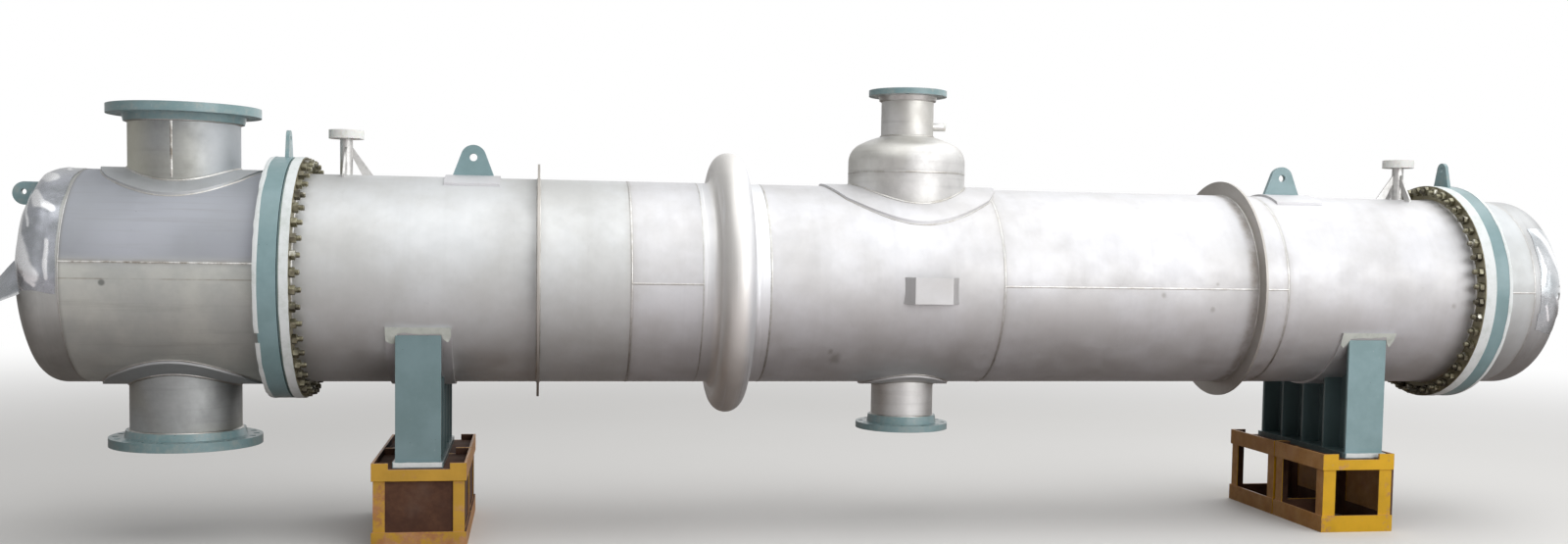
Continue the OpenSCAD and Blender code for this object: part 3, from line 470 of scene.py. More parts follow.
def stand_paint(node, yellow, post_stain):
    """Yellow enamel on the frames, worn to brown; rusty panels inside them, and brown sides and tops, partly
    rust and partly painted shade.
    """
    tree = Tree(node + "_paint")
    rust = tree.clouds((0.070, 0.030, 0.018), (0.125, 0.058, 0.032), 7, 5, 0.7)
    rust = tree.tint(rust, (0.16, 0.10, 0.075), tree.noise(3, 4, 0.6), 0.5, 0.7, 0.5)
    brown = tree.clouds((0.42, 0.185, 0.075), (0.58, 0.32, 0.16), 6, 5, 0.7)
    paint = tree.clouds(yellow, shaded(yellow, 0.80), 5, 4, 0.6, end=0.75)
    panel = stand_panels(tree, node)
    split = tree.add("SeparateXYZ", Vector=tree.add("NewGeometry").outputs["True Normal"])
    # Brown on the sides and tops: partly rust, partly painted shade.
    sides_rust_and_shade = tree.steps(tree.math("ABSOLUTE", split.outputs["X"]), 0.4, 0.8)
    tops_rust_and_shade = tree.steps(split.outputs["Z"], 0.4, 0.8)
    wear = tree.plus(tree.noise(9, 8, 0.7), tree.times(tree.noise(60, 4, 0.7), 0.25))
    posts = tree.times(tree.math("LESS_THAN", tree.axis("Z"), high(node).z - STAND_POST_TOP), post_stain)
    worn = tree.steps(tree.plus(wear, posts), 0.70, 0.84)
    tone = tree.mix(worn, paint, brown)
    tone = tree.lay(tone, brown, sides_rust_and_shade, tree.steps(wear, 0.3, 0.8, 0.95, 0.75))
    tone = tree.mix(panel, tree.lay(tone, brown, tops_rust_and_shade, 0.85), rust)
    normal = tree.bump(tree.noise(220, 4, 0.7), 0.4, 0.5, tree.soft_edges(3))
    normal = tree.bump(worn, 0.5, -0.6, normal)
    roughness = tree.steps(tree.math("MAXIMUM", worn, panel), 0.0, 1.0, 0.42, 0.8)
    return tree.finish(tone, roughness, 0.0, normal, Specular_IOR_Level=0.3)


# Plastic, tape and gasket

def shrunk_film(name, dark, light):
    """Protective film drawn tight over bright plate: glossy, with painted white highlights along its folds.
    """
    tree = Tree(name)
    tone = tree.clouds(dark, light, 5, 4, 0.6, start=0.38, end=0.62)
    mark = tree.add("Attribute")
    mark.attribute_name = "fold_and_highlight"
    fold_and_highlight = tree.plus(mark.outputs["Fac"], tree.times(tree.noise(30, 3, 0.6), 0.3))
    # Painted highlights in white along the folds.
    tone = tree.tint(tone, (0.93, 0.94, 0.96), fold_and_highlight, 0.45, 0.85)
    creases = tree.noise(30, 4, 0.65, distortion=1.0)
    tone = tree.tint(tone, (0.80, 0.82, 0.84), creases, 0.64, 0.72, 0.3)
    normal = tree.bump(creases, 0.6, 0.16)
    return tree.finish(tone, tree.steps(creases, 0.3, 0.7, 0.18, 0.32), 0.7, normal,
                       Coat_Weight=0.7, Coat_Roughness=0.1)


def tape_paper(name, colour, stain):
    """Masking tape: matt, creased, with paint and dust on it."""
    tree = Tree(name)
    tone = tree.clouds(colour, stain, 14, 6, 0.7, start=0.42, end=0.78)
    creases = tree.noise(70, 5, 0.7, distortion=1.5)
    normal = tree.bump(creases, 0.8, 0.6)
    return tree.finish(tone, tree.steps(creases, 0.3, 0.7, 0.45, 0.7), 0.0, normal)


def cap_plastic():
    """White moulded plastic, handled and slightly yellowed."""
    tree = Tree("white_plastic")
    tone = tree.clouds((0.80, 0.80, 0.77), (0.58, 0.56, 0.48), 20, 6, 0.7, start=0.5, end=0.8)
    normal = tree.bump(tree.noise(150, 2, 0.5), 0.2, 0.3, tree.soft_edges(3))
    return tree.finish(tone, tree.patches(0.35, 0.55, 25, 3, 0.5), 0.0, normal, Subsurface_Weight=0.05)


def gasket_sheet():
    """Dark compressed gasket sheet."""
    tree = Tree("gasket")
    tone = tree.mix(tree.noise(80, 4, 0.7), (0.030, 0.030, 0.032), (0.075, 0.073, 0.070))
    return tree.finish(tone, 0.8, 0.0, tree.bump(tree.noise(400, 3, 0.6), 0.2, 0.5))


# Meshes, each shape a list of vertices and a list of faces

def piece(name, shape, material, smooth_angle):
    """A new rigid piece of the object, in the frame of its CAD."""
    verts, faces = shape
    mesh = bpy.data.meshes.new(name)
    mesh.from_pydata([tuple(v) for v in verts], [], faces)
    work = bmesh.new()
    work.from_mesh(mesh)
    bmesh.ops.recalc_face_normals(work, faces=work.faces)
    work.to_mesh(mesh)
    work.free()
    mesh.shade_smooth()
    mesh.set_sharp_from_angle(angle=radians(smooth_angle))
    mesh.materials.append(material)
    obj = bpy.data.objects.new(name, mesh)
    bpy.context.scene.collection.objects.link(obj)
    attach(obj, "root")
    return obj


def merged(shapes):
    """Many closed shapes as one."""
    verts, faces = [], []
    for more_verts, more_faces in shapes:
        faces += [tuple(len(verts) + i for i in face) for face in more_faces]
        verts += more_verts
    return verts, faces


def tube_faces(rings, sides, closed=False):
    """Faces between rings of vertices: the last ring joined to the first, or else both ends capped."""
    faces = []
    for i in range(rings if closed else rings - 1):
        here, there = i * sides, (i + 1) % rings * sides
        for k in range(sides):
            n = (k + 1) % sides
            faces.append((here + k, here + n, there + n, there + k))
    if not closed:
        faces += [tuple(range(sides)), tuple((rings - 1) * sides + k for k in range(sides))]
    return faces


def blend(a, b, t):
    return a + (b - a) * t


def radial(angle):
    """Unit vector away from the shell's centre line; 0 is the front, 90 degrees the top."""
    return Vector((0, -cos(angle), sin(angle)))


def on_shell(x, angle, r):
    return Vector((x, 0, AXIS_Z)) + radial(angle) * r


# Weld beads

BEAD_STEP = 6 * MM
BEAD_SIDES = 8
RIPPLE = 17 * MM
NECK_SEAM_TURN = radians(-1)


def bead(path, ups, half_width, height, closed=True):
    """A weld bead: an oval section swept along path, its crown along ups, with ripples and uneven width.

    Half width and height are in millimetres."""
    count = len(path)
    verts = []
    walked = 0
    for i, (p, up) in enumerate(zip(path, ups)):
        before = path[i - 1] if (closed or i) else p
        after = path[(i + 1) % count] if (closed or i < count - 1) else p
        side = (after - before).normalized().cross(up).normalized()
        walked += (p - before).length if i else 0
        swell = (1 + 0.13 * sin(tau * walked / RIPPLE) + 0.22 * noise.noise(p * 23)) * MM
        for k in range(BEAD_SIDES):
            a = tau * k / BEAD_SIDES
            verts.append(p + side * cos(a) * half_width * swell + up * sin(a) * height * swell)
    return verts, tube_faces(count, BEAD_SIDES, closed)


def steps_for(length):
    return max(12, round(length / BEAD_STEP))


def girth_bead(x, half_width, height, lean=0.0):
    """Round the shell at x; lean tips the crown along X, for a fillet in a corner."""
    count = steps_for(tau * SHELL_R)
    angles = [tau * i / count for i in range(count)]
    path = [on_shell(x, a, SHELL_R) for a in angles]
    ups = [(radial(a) + Vector((lean, 0, 0))).normalized() for a in angles]
    return bead(path, ups, half_width, height)


def seam_bead(x0, x1, degrees, half_width, height=1.2):
    """Along the shell at one angle."""
    angle = radians(degrees)
    count = steps_for(x1 - x0)
    path = [on_shell(blend(x0, x1, i / (count - 1)), angle, SHELL_R) for i in range(count)]
    return bead(path, [radial(angle)] * count, half_width, height, closed=False)


def pad_edge(pad):
    """Plan outline of a pad, a flat circle rolled to the shell, as its radius at a turn."""
    r = (high(pad).x - low(pad).x) / 2
    half_y = PAD_R * sin(r / PAD_R)
    diagonal = r * sqrt(0.5)
    rolled = PAD_R * sin(diagonal / PAD_R)
    shift = (diagonal ** 2 + rolled ** 2 - half_y ** 2) / (2 * (half_y - rolled))
    reach = half_y + shift

    def outline(a):
        return min(r, sqrt(reach ** 2 - (shift * cos(a)) ** 2) - shift * abs(sin(a)))

    return outline


def level_turns(length):
    """Angles all the way round for a bead of this length, each with its level way out."""
    count = steps_for(length)
    angles = [tau * i / count for i in range(count)]
    return [(a, Vector((cos(a), sin(a), 0))) for a in angles]


def saddle_bead(x, outline, shell_r, side, half_width, height):
    """Where a pipe or a pad's edge at x meets the shell of radius shell_r, above (1) or below (-1)."""
    path, ups = [], []
    for a, out in level_turns(tau * outline(0)):
        r = outline(a)
        y = r * out.y
        z = side * sqrt(shell_r ** 2 - y ** 2)
        path.append(Vector((x + r * out.x, y, AXIS_Z + z)))
        ups.append((Vector((0, y, z)).normalized() + out).normalized())
    return bead(path, ups, half_width, height)


def ring_bead(x, z, r, half_width, height, lift):
    """A level circle round an upright nozzle at x; lift tips the crown up (positive) or down."""
    outs = [out for a, out in level_turns(tau * r)]
    path = [Vector((x, 0, z)) + out * r for out in outs]
    return bead(path, [(out + Vector((0, 0, lift))).normalized() for out in outs], half_width, height)


def shell_welds():
    """Girth and long seams of the shell, the channel and the return end."""
    flush = (low("channel_barrel").x, low("expansion_bellows").x, low("return_head").x)
    proud = (high("shell_course_1").x, high("expansion_bellows").x, high("shell_course_3").x,
             high("shell_course_4").x)
    corners = ((low("channel_girth_flange").x, -1), (high("channel_tubesheet").x, 1),
               (low("return_tubesheet").x, -1), (high("return_girth_flange").x, 1))
    long_seams = {"shell_course_1": 152, "shell_course_2": 0.5, "shell_course_3": 205,
                  "shell_course_4": 1.2, "shell_course_5": 160, "return_barrel": 1.0}
    return merged([girth_bead(x, 3, 0.6) for x in flush] + [girth_bead(x, 5, 1.1) for x in proud]
                  + [girth_bead(x, 8, 5, lean) for x, lean in corners]
                  + [seam_bead(low(course).x, high(course).x, degrees, 5)
                     for course, degrees in long_seams.items()])


def ring_welds():
    """Fillets on both sides of each stiffening ring."""
    lefts = (low("stiffening_rings").x, high("stiffening_rings").x - RING_T)
    return merged([girth_bead(x + past, 5, 4, lean)
                   for x in lefts for past, lean in ((0, -1), (RING_T, 1))])


def nozzle_welds():
    """Fillets at the pads, necks, hubs and the dome's seams."""
    shapes = []
    for x, r, side, wide, tall, pad, pad_wide, pad_tall in (
            (CHANNEL_X, CHANNEL_NECK_R, 1, 8, 6, "channel_nozzle_pads", 5, 3),
            (CHANNEL_X, CHANNEL_NECK_R, -1, 8, 6, "channel_nozzle_pads", 5, 3),
            (DOME_X, DOME_R, 1, 8, 6, "dome_pad", 4, 3),
            (DOME_X, BOTTOM_NECK_R, -1, 7, 5, "bottom_nozzle_pad", 5, 4)):
        shapes.append(saddle_bead(x, lambda a: r, PAD_R, side, wide, tall))
        shapes.append(saddle_bead(x, pad_edge(pad), SHELL_R, side, pad_wide, pad_tall))
    for x, z, r, wide, tall, lift in (
            (DOME_X, high("dome_barrel").z, DOME_R, 5, 0.8, 0),
            (DOME_X, high("dome_head").z, DOME_NECK_R, 7, 6, 1),
            (DOME_X, low("dome_flange").z, DOME_NECK_R, 6, 5, -1),
            (DOME_X, high("bottom_nozzle_flange").z, BOTTOM_NECK_R, 6, 5, 1),
            (CHANNEL_X, low("channel_top_flange").z, CHANNEL_NECK_R, 7, 6, -1),
            (CHANNEL_X, high("channel_bottom_flange").z, CHANNEL_NECK_R, 7, 6, 1)):
        shapes.append(ring_bead(x, z, r, wide, tall, lift))
    return merged(shapes)


def channel_seams():
    """The channel's long weld and the upright weld of its top neck."""
    barrel = seam_bead(low("channel_barrel").x, low("channel_girth_flange").x, CHANNEL_SEAM_DEG, 3.5)
    out = Vector((sin(NECK_SEAM_TURN), -cos(NECK_SEAM_TURN), 0))
    foot = Vector((CHANNEL_X, 0, AXIS_Z + PAD_R * 0.9)) + out * CHANNEL_NECK_R
    top = Vector((foot.x, foot.y, low("channel_top_flange").z))
    count = round((top - foot).length / BEAD_STEP)
    path = [foot.lerp(top, k / count) for k in range(count)]
    return merged([barrel, bead(path, [out] * count, 5, 1.5, closed=False)])


# Studs and nuts of the girth joints

STUDS = 44
STUD_CIRCLE_R = 558 * MM
STUD_R = 13.5 * MM
STUD_SIDES = 14
STUD_PROUD = 22 * MM
STUD_SUNK = 20 * MM
STUD_SLIP = 4
THREAD_PITCH = 3.4 * MM
THREAD_DEPTH = 1.4 * MM
NUT_FLATS = 43 * MM
NUT_H = 26 * MM
NUT_SIDES = 24


def stud_shape():
    """A stud along +X through the tubesheet's face at 0 and the nut on it, threaded where it shows."""
    start = NUT_H + 2 * MM
    profile = [(-STUD_SUNK, STUD_R), (start, STUD_R - THREAD_DEPTH)]
    for i in range(int((STUD_PROUD - 4 * MM) / THREAD_PITCH)):
        x = start + i * THREAD_PITCH
        profile += [(x + THREAD_PITCH / 2, STUD_R), (x + THREAD_PITCH, STUD_R - THREAD_DEPTH)]
    profile.append((NUT_H + STUD_PROUD, STUD_R * 0.75))
    turns = [tau * k / STUD_SIDES for k in range(STUD_SIDES)]
    verts = [Vector((x, r * cos(a), r * sin(a))) for x, r in profile for a in turns]
    return verts, tube_faces(len(profile), STUD_SIDES)


def nut_shape():
    """A hexagon nut from 0 to NUT_H with chamfered corners at both ends."""
    flat = NUT_FLATS / 2
    inner = flat * 0.96
    verts = []
    for x, chamfered in ((0, True), (0, False), (NUT_H, False), (NUT_H, True)):
        for k in range(NUT_SIDES):
            a = tau * k / NUT_SIDES
            corner = flat / cos((a + pi / 6) % (pi / 3) - pi / 6)
            drop = (corner - inner) * tan(radians(30))
            at, r = (x, inner) if chamfered else (abs(x - drop), corner)
            verts.append(Vector((at, r * cos(a), r * sin(a))))
    return verts, tube_faces(4, NUT_SIDES)


def placed(shape, x, angle, twist, away):
    """Moves a shape made on +X out to the stud circle; away is the way its outer end points along X."""
    verts, faces = shape
    spin = Matrix.Diagonal((away, 1, 1)) @ Matrix.Rotation(twist, 3, "X")
    centre = on_shell(x, angle, STUD_CIRCLE_R)
    return [centre + spin @ v for v in verts], faces


def joint_bolts(name, x, away, metal):
    """The ring of studs and nuts on a tubesheet's back at x; the studs are screwed into the flange."""
    draw = random.Random(name)
    stud, nut = stud_shape(), nut_shape()
    studs, nuts = [], []
    for i in range(STUDS):
        angle = tau * (i + 0.5) / STUDS
        slip = draw.uniform(-STUD_SLIP, STUD_SLIP) * MM
        studs.append(placed(stud, x + slip, angle, draw.uniform(0, 1), away))
        nuts.append(placed(nut, x, angle, draw.uniform(0, pi), away))
    piece(name + "_studs", merged(studs), metal, 40)
    piece(name + "_nuts", merged(nuts), metal, 25)


# Tape and film

TAPE_T = 0.5 * MM
FILM_T = 0.4 * MM
RIM_TAPE_GRID, SADDLE_TAPE_GRID, BASE_TAPE_GRID = (420, 6), (61, 12), (40, 4)
FILM_GRID, FLAP_GRID = (120, 56), (24, 14)
SADDLE_TAPE_HALF = 150
SADDLE_RIB_HALF = 106
TAPE_EDGES = {
    "left_saddle": ((-150, 70), (-128, 92), (-104, 84), (-96, 34), (-60, 27), (0, 37), (60, 34), (104, 36),
                    (112, 62), (136, 78), (150, 52)),
    "right_saddle": ((-150, 66), (-130, 90), (-108, 74), (-100, 33), (-40, 30), (0, 30), (60, 28), (100, 24),
                     (112, 60), (132, 84), (150, 40)),
}


def grid_of(size, at, wrap=False):
    """Rows and columns of the points at(u, v), u and v from 0 to 1; with wrap u stops one row short of 1."""
    rows, cols = size
    return [[at(i / (rows - 1 + wrap), j / (cols - 1)) for j in range(cols)] for i in range(rows)]


def closed_sheet(grid, thickness, wrap=False):
    """A thin closed solid under a grid of points; wrap joins the last row to the first."""
    rows, cols = len(grid), len(grid[0])
    top, bottom = [], []
    for i, row in enumerate(grid):
        after = grid[(i + 1) % rows] if wrap or i < rows - 1 else row
        before = grid[i - 1] if wrap or i else row
        for j, spot in enumerate(row):
            across = row[min(j + 1, cols - 1)] - row[max(j - 1, 0)]
            top.append(spot)
            bottom.append(spot - (after[j] - before[j]).cross(across).normalized() * thickness)
    base = rows * cols
    faces = []
    for i in range(rows if wrap else rows - 1):
        here, there = i * cols, (i + 1) % rows * cols
        for j in range(cols - 1):
            a, b, c, d = here + j, here + j + 1, there + j + 1, there + j
            faces += [(a, d, c, b), (base + a, base + b, base + c, base + d)]
        for j in (0, cols - 1):
            faces.append((here + j, base + here + j, base + there + j, there + j))
    if not wrap:
        for first in (0, base - cols):
            faces += [(a, base + a, base + a + 1, a + 1) for a in range(first, first + cols - 1)]
    return top + bottom, faces


def rim_tape(x0, x1, seed, degrees=(0, 360), ragged=2 * MM, flare=0.0):
    """A ragged band of tape round a girth joint from x0 to x1; flare bends its x1 edge inwards."""
    span = degrees[1] - degrees[0]
    wrap = span == 360

    def at(u, v):
        angle = radians(degrees[0] + span * u)
        spot = Vector((cos(angle) * 6, sin(angle) * 6, seed + v * 0.7))
        edge = blend(noise.noise(spot), noise.noise(spot * 1.7 + Vector((0, 0, 9))), v)
        x = blend(x0, x1, v) + edge * ragged * (1 if v in (0, 1) else 0.4)
        lift = 0.5 * MM + 0.5 * MM * noise.noise(spot * 5)
        return on_shell(x, angle, GIRTH_R + TAPE_T + lift - flare * v * v)

    rows, cols = RIM_TAPE_GRID
    grid = grid_of((int(rows * span / 360), cols), at, wrap)
    return closed_sheet(grid, TAPE_T if x1 > x0 else -TAPE_T, wrap)


def edge_drop(points, x):
    """How far below the wear plate's upper edge the tape ends at x, in millimetres."""
    for (x0, d0), (x1, d1) in zip(points, points[1:]):
        if x <= x1:
            return blend(d0, d1, (x - x0) / (x1 - x0))
    return points[-1][1]


def saddle_tape(saddle, side):
    """Tape along the wear plate's upper edge, loose beyond the end rib; side is -1 in front, 1 behind."""
    centre = middle(saddle).x
    top = asin((AXIS_Z - high("wear_plates").z) / PAD_R)

    def at(u, v):
        x = SADDLE_TAPE_HALF * (2 * u - 1)
        wobble = noise.noise(Vector((x * 0.05, v * 3, side * 4 + centre)))
        down = top + (edge_drop(TAPE_EDGES[saddle], x) * v + 4 * wobble * v) * MM / PAD_R - 0.004
        lift = (1.2 + 3.5 * v * v * (0.5 + wobble) * (abs(x) > SADDLE_RIB_HALF)) * MM
        spot = on_shell(centre + (x + 2 * wobble) * MM, -down, PAD_R + lift)
        return Vector((spot.x, -side * spot.y, spot.z))

    return closed_sheet(grid_of(SADDLE_TAPE_GRID, at), TAPE_T * side)


def base_tape(saddle, seed):
    """Tape on the front edge of a saddle's base plate."""
    lo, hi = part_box(saddle)

    def at(u, v):
        x = blend(lo.x + 4 * MM, hi.x - 4 * MM, u)
        wobble = noise.noise(Vector((x * 25, v * 2, seed)))
        z = lo.z + blend(4 * MM, BASE_PLATE_T - 1 * MM, v)
        return Vector((x, lo.y - (0.8 + 0.5 * wobble) * MM, z + 2 * MM * wobble))

    return closed_sheet(grid_of(BASE_TAPE_GRID, at), -TAPE_T)


def turn_of(a, b, c):
    """Above 0 where the path a, b, c turns left, below 0 where it turns right."""
    return (b[0] - a[0]) * (c[1] - a[1]) - (b[1] - a[1]) * (c[0] - a[0])


def head_outline(node, side):
    """The outer outline of a head from its tip to its seam: (way along it, radius, distance along X)."""
    rings = sorted({(round(hypot(v.co.y, v.co.z - AXIS_Z), 4), round(v.co.x * side, 4))
                    for v in NODES[node].data.vertices})
    outline = []
    for spot in rings:
        while len(outline) >= 2 and turn_of(outline[-2], outline[-1], spot) >= 0:
            outline.pop()
        outline.append(spot)
    outline.append((outline[-1][0], min(x for r, x in rings)))
    walked, ways = 0.0, []
    for i, spot in enumerate(outline):
        walked += dist(outline[i - 1], spot) if i else 0.0
        ways.append((walked, *spot))
    return ways


def on_head(outline, side, angle, way, lift):
    """A point over the head at a way from its tip towards its seam, lifted off its surface."""
    for (s0, r0, x0), (s1, r1, x1) in zip(outline, outline[1:]):
        if way <= s1:
            break
    t = (way - s0) / (s1 - s0)
    slope = Vector((x0 - x1, r1 - r0)).normalized()
    spot = on_shell(blend(x0, x1, t) * side, angle, blend(r0, r1, t))
    return spot + Vector((slope.y * side, 0, 0)) * lift + radial(angle) * slope.x * lift


# Folds of the films: half width in millimetres, height, and points in degrees and way from tip to seam

FOLD_R, HEAD_WAY = 0.42, 0.67
LEFT_FOLDS = (
    (32, 1.00, ((84, 0.72), (68, 0.80), (62, 0.86))),
    (14, 0.80, ((88, 0.88), (76, 0.93))),
    (26, 1.00, ((50, 0.78), (40, 0.84), (38, 0.92))),
    (10, 0.80, ((56, 0.72), (36, 0.76), (28, 0.80))),
    (40, 1.12, ((56, 0.58), (46, 0.62), (36, 0.65), (24, 0.69), (12, 0.76), (2, 0.84))),
    (9, 1.00, ((19, 0.925), (0, 0.935))),
    (9, 0.90, ((0, 0.80), (-4, 0.86))),
    (8, 0.60, ((-4, 0.72), (-8, 0.80))),
)
RIGHT_FOLDS = (
    (24, 0.80, ((44, 0.90), (34, 0.84), (22, 0.80))),
    (12, 0.90, ((34, 0.70), (26, 0.66), (14, 0.68))),
    (11, 1.00, ((20, 0.80), (14, 0.76), (6, 0.74))),
    (10, 1.00, ((8, 0.70), (2, 0.74), (-4, 0.68))),
    (8, 0.80, ((30, 0.93), (16, 0.90), (6, 0.93))),
    (11, 1.00, ((-2, 0.80), (-8, 0.76), (-14, 0.72))),
    (8, 0.80, ((-6, 0.90), (-16, 0.86))),
)

# The channel film's free end: the degrees and way of each foot, and how far its far corner is from it
LOOSE_END = ((-9, 0.74, (-0.120, -0.010, -0.050)), (14, 0.46, (-0.090, 0.010, -0.100)))


def fold_at(folds, degrees, way):
    """How much of a fold there is at a spot of a head, from 0 up to the height of the highest."""
    best = 0.0
    spot = Vector((radians(degrees) * FOLD_R, way * HEAD_WAY))
    for half_width, height, points in folds:
        ends = [Vector((radians(a) * FOLD_R, v * HEAD_WAY)) for a, v in points]
        for a, b in zip(ends, ends[1:]):
            t = max(0.0, min(1.0, (spot - a).dot(b - a) / (b - a).length_squared))
            away = (spot - a.lerp(b, t)).length / (half_width * MM)
            best = max(best, height * exp(-away * away))
    return best


def film_flap(outline, side, loose, seed):
    """The film's free end: a limp wedge from two spots on the head to two corners in the air."""
    feet = [on_head(outline, side, radians(degrees), outline[-1][0] * way, 4 * MM)
            for degrees, way, reach in loose]

    def at(u, v):
        wave = noise.noise(Vector((u * 2.5, v * 3, seed)))
        low_edge, top_edge = (foot + Vector(reach) * u for foot, (degrees, way, reach) in zip(feet, loose))
        sag = 9 * MM * sin(pi * v) * u + 8 * MM * wave * u
        return low_edge.lerp(top_edge, v) + Vector((0.2, 1, 0.2)) * sag

    return grid_of(FLAP_GRID, at)


def head_film(node, side, degrees, reach, folds, seed, material, loose=None):
    """Film that clings to part of a head, with a few folds; loose gives its free end."""
    outline = head_outline(node, side)
    fold_highlights = []

    def at(u, v):
        ragged = noise.noise(Vector((u * 6, v * 3, seed)))
        angle = blend(*degrees, u) + 9 * ragged * u * u
        way = blend(*reach, v + 0.02 * ragged * v)
        wander = noise.noise(Vector((angle * 0.07, way * 9, seed)))
        fold_and_highlight = fold_at(folds, angle + 2.5 * wander, way + 0.012 * wander)
        fine = noise.noise(Vector((u * 20, v * 12, seed + 9)))
        edge = min(1.0, v * 6, (1 - v) * 6, u * 8, (1 - u) * 8 + 0.3)
        lift = (1.2 + (4.5 * fold_and_highlight + 0.5 * fine + 0.9) * edge) * MM
        # Each point's fold is also its painted highlight.
        fold_highlights.append(fold_and_highlight)
        return on_head(outline, side, radians(angle), outline[-1][0] * way, lift)

    shapes = [closed_sheet(grid_of(FILM_GRID, at), FILM_T * side)]
    fold_highlights += fold_highlights
    if loose:
        flap = film_flap(outline, side, loose, seed)
        shapes.append(closed_sheet(flap, FILM_T))
        # Painted highlights on the flap, brightest along the edge from its first foot.
        fold_highlights += [max(0.0, 1 - j / 2.5) * 0.8 for row in flap for j in range(len(row))] * 2
    film = piece(node + "_film", merged(shapes), material, 60)
    film.data.attributes.new("fold_and_highlight", "FLOAT", "POINT").data.foreach_set("value", fold_highlights)


# Finishes of the CAD nodes

BLASTED = (0.672, 0.674, 0.692)
COURSE_TONES = {"shell_course_1": (0.655, 0.668, 0.675), "return_barrel": (0.62, 0.64, 0.65)}
SEAM_ENDS = {"shell_course_1": (high,), "shell_course_2": (low,), "shell_course_3": (high,),
             "shell_course_4": (low, high), "shell_course_5": (low,), "return_barrel": (high,)}
STAINS = {
    "shell_course_3": ((-0.09, 0.89, 0.045), (-0.12, 0.93, 0.022)),
    "shell_course_4": ((1.87, 1.29, 0.016), (1.58, 1.23, 0.022), (1.85, 1.16, 0.022)),
    "shell_course_5": ((3.21, 1.19, 0.022),),
}
SHADOWS = {node: [low("stiffening_rings").x - 22 * MM, high("stiffening_rings").x - 34 * MM]
           for node in ("shell_course_2", "shell_course_3", "shell_course_4")}
# Painted light on the channel top neck: the tones of its paler left and right sides.
NECK_PAINTED_LIGHT = ((0.68, 0.67, 0.57), (0.60, 0.63, 0.665))


def dress(nodes, material):
    """Gives CAD nodes their finish and smooth round faces."""
    for node in nodes.split():
        mesh = NODES[node].data
        mesh.materials.clear()
        mesh.materials.append(material)
        mesh.shade_smooth()
        mesh.set_sharp_from_angle(angle=radians(30))


def dress_steel():
    for node, ends in SEAM_ENDS.items():
        colour, seams = COURSE_TONES.get(node, BLASTED), [end(node).x for end in ends]
        dress(node, steel(node + "_steel", colour, 0.62, seams, STAINS.get(node, ()), SHADOWS.get(node, ())))
    dress("channel_barrel", mill_steel())
    dress("channel_head", head_steel("channel_head_steel", (0.56, 0.57, 0.555), (0.47, 0.48, 0.465)))
    dress("return_head", head_steel("return_head_steel", (0.53, 0.54, 0.545), (0.475, 0.48, 0.48)))
    dress("dome_pad bottom_nozzle_pad lug_pads wear_plates", steel("plain_steel", BLASTED, 0.62))
    dress("stiffening_rings", steel("ring_steel", (0.52, 0.50, 0.475), 0.55))
    dress("channel_nozzle_pads", steel("channel_pad_steel", (0.53, 0.545, 0.56), 0.62))
    dress("channel_bottom_neck", drawn_steel("bottom_neck_steel", (0.44, 0.455, 0.455), 0.54))
    dress("channel_top_neck", drawn_steel("top_neck_steel", (0.42, 0.435, 0.435), 0.58, lit_flanks=NECK_PAINTED_LIGHT))
    dress("dome_barrel dome_head dome_neck bottom_nozzle_neck",
          drawn_steel("dome_steel", (0.70, 0.695, 0.685), 0.50, high("dome_barrel").z))
    dress("vent_necks vent_flanges vent_braces instrument_boss",
          machined_steel("machined_steel", (0.70, 0.695, 0.68), 0.45))
    dress("nameplate_bracket", steel("bracket_steel", (0.62, 0.62, 0.63), 0.55))
    dress("expansion_bellows", bellows_steel())
    dress("channel_tubesheet return_tubesheet", tubesheet_steel())
    dress("pass_partition tube_bundle", machined_steel("inner_steel", (0.42, 0.41, 0.39), 0.45))


def dress_the_rest():
    dress("channel_girth_flange return_girth_flange lifting_lugs", green_paint("green_paint", 0.0))
    # The left saddle's paint is darkened by painted shade; the right one's is lightened a little by painted
    # light.
    for node, shade in (("left_saddle", 0.76), ("right_saddle", 1.03)):
        dress(node, green_paint(node + "_paint", 0.0, None, shade, high(node).y - RECESS_SHADE_INSET))
    dress("channel_top_flange channel_bottom_flange bottom_nozzle_flange handling_lugs",
          green_paint("dust_and_light_green_paint", 1.0))
    dress("dome_flange", green_paint("dome_flange_paint", 1.0, high("dome_flange").z - DOME_DISC_T))
    dress("left_stands", stand_paint("left_stands", (0.60, 0.34, 0.045), 0.12))
    dress("right_stands", stand_paint("right_stands", (0.76, 0.43, 0.016), 0.0))
    dress("girth_gaskets", gasket_sheet())
    dress("transport_caps", cap_plastic())


# The pieces that are added to the CAD

def add_welds():
    seam = weld_metal("seam_weld", (0.56, 0.56, 0.55), (0.46, 0.445, 0.42))
    fillet = weld_metal("fillet_weld", (0.58, 0.575, 0.555), (0.44, 0.42, 0.385), 9)
    bright = weld_metal("bright_weld", (0.80, 0.80, 0.77), (0.27, 0.24, 0.20), 14)
    for weld, metal in ((shell_welds, seam), (ring_welds, fillet), (nozzle_welds, fillet),
                        (channel_seams, bright)):
        piece(weld.__name__, weld(), metal, 60)


def add_bolts():
    metal = bolt_metal()
    joint_bolts("channel_joint", high("channel_tubesheet").x, 1, metal)
    joint_bolts("return_joint", low("return_tubesheet").x, -1, metal)


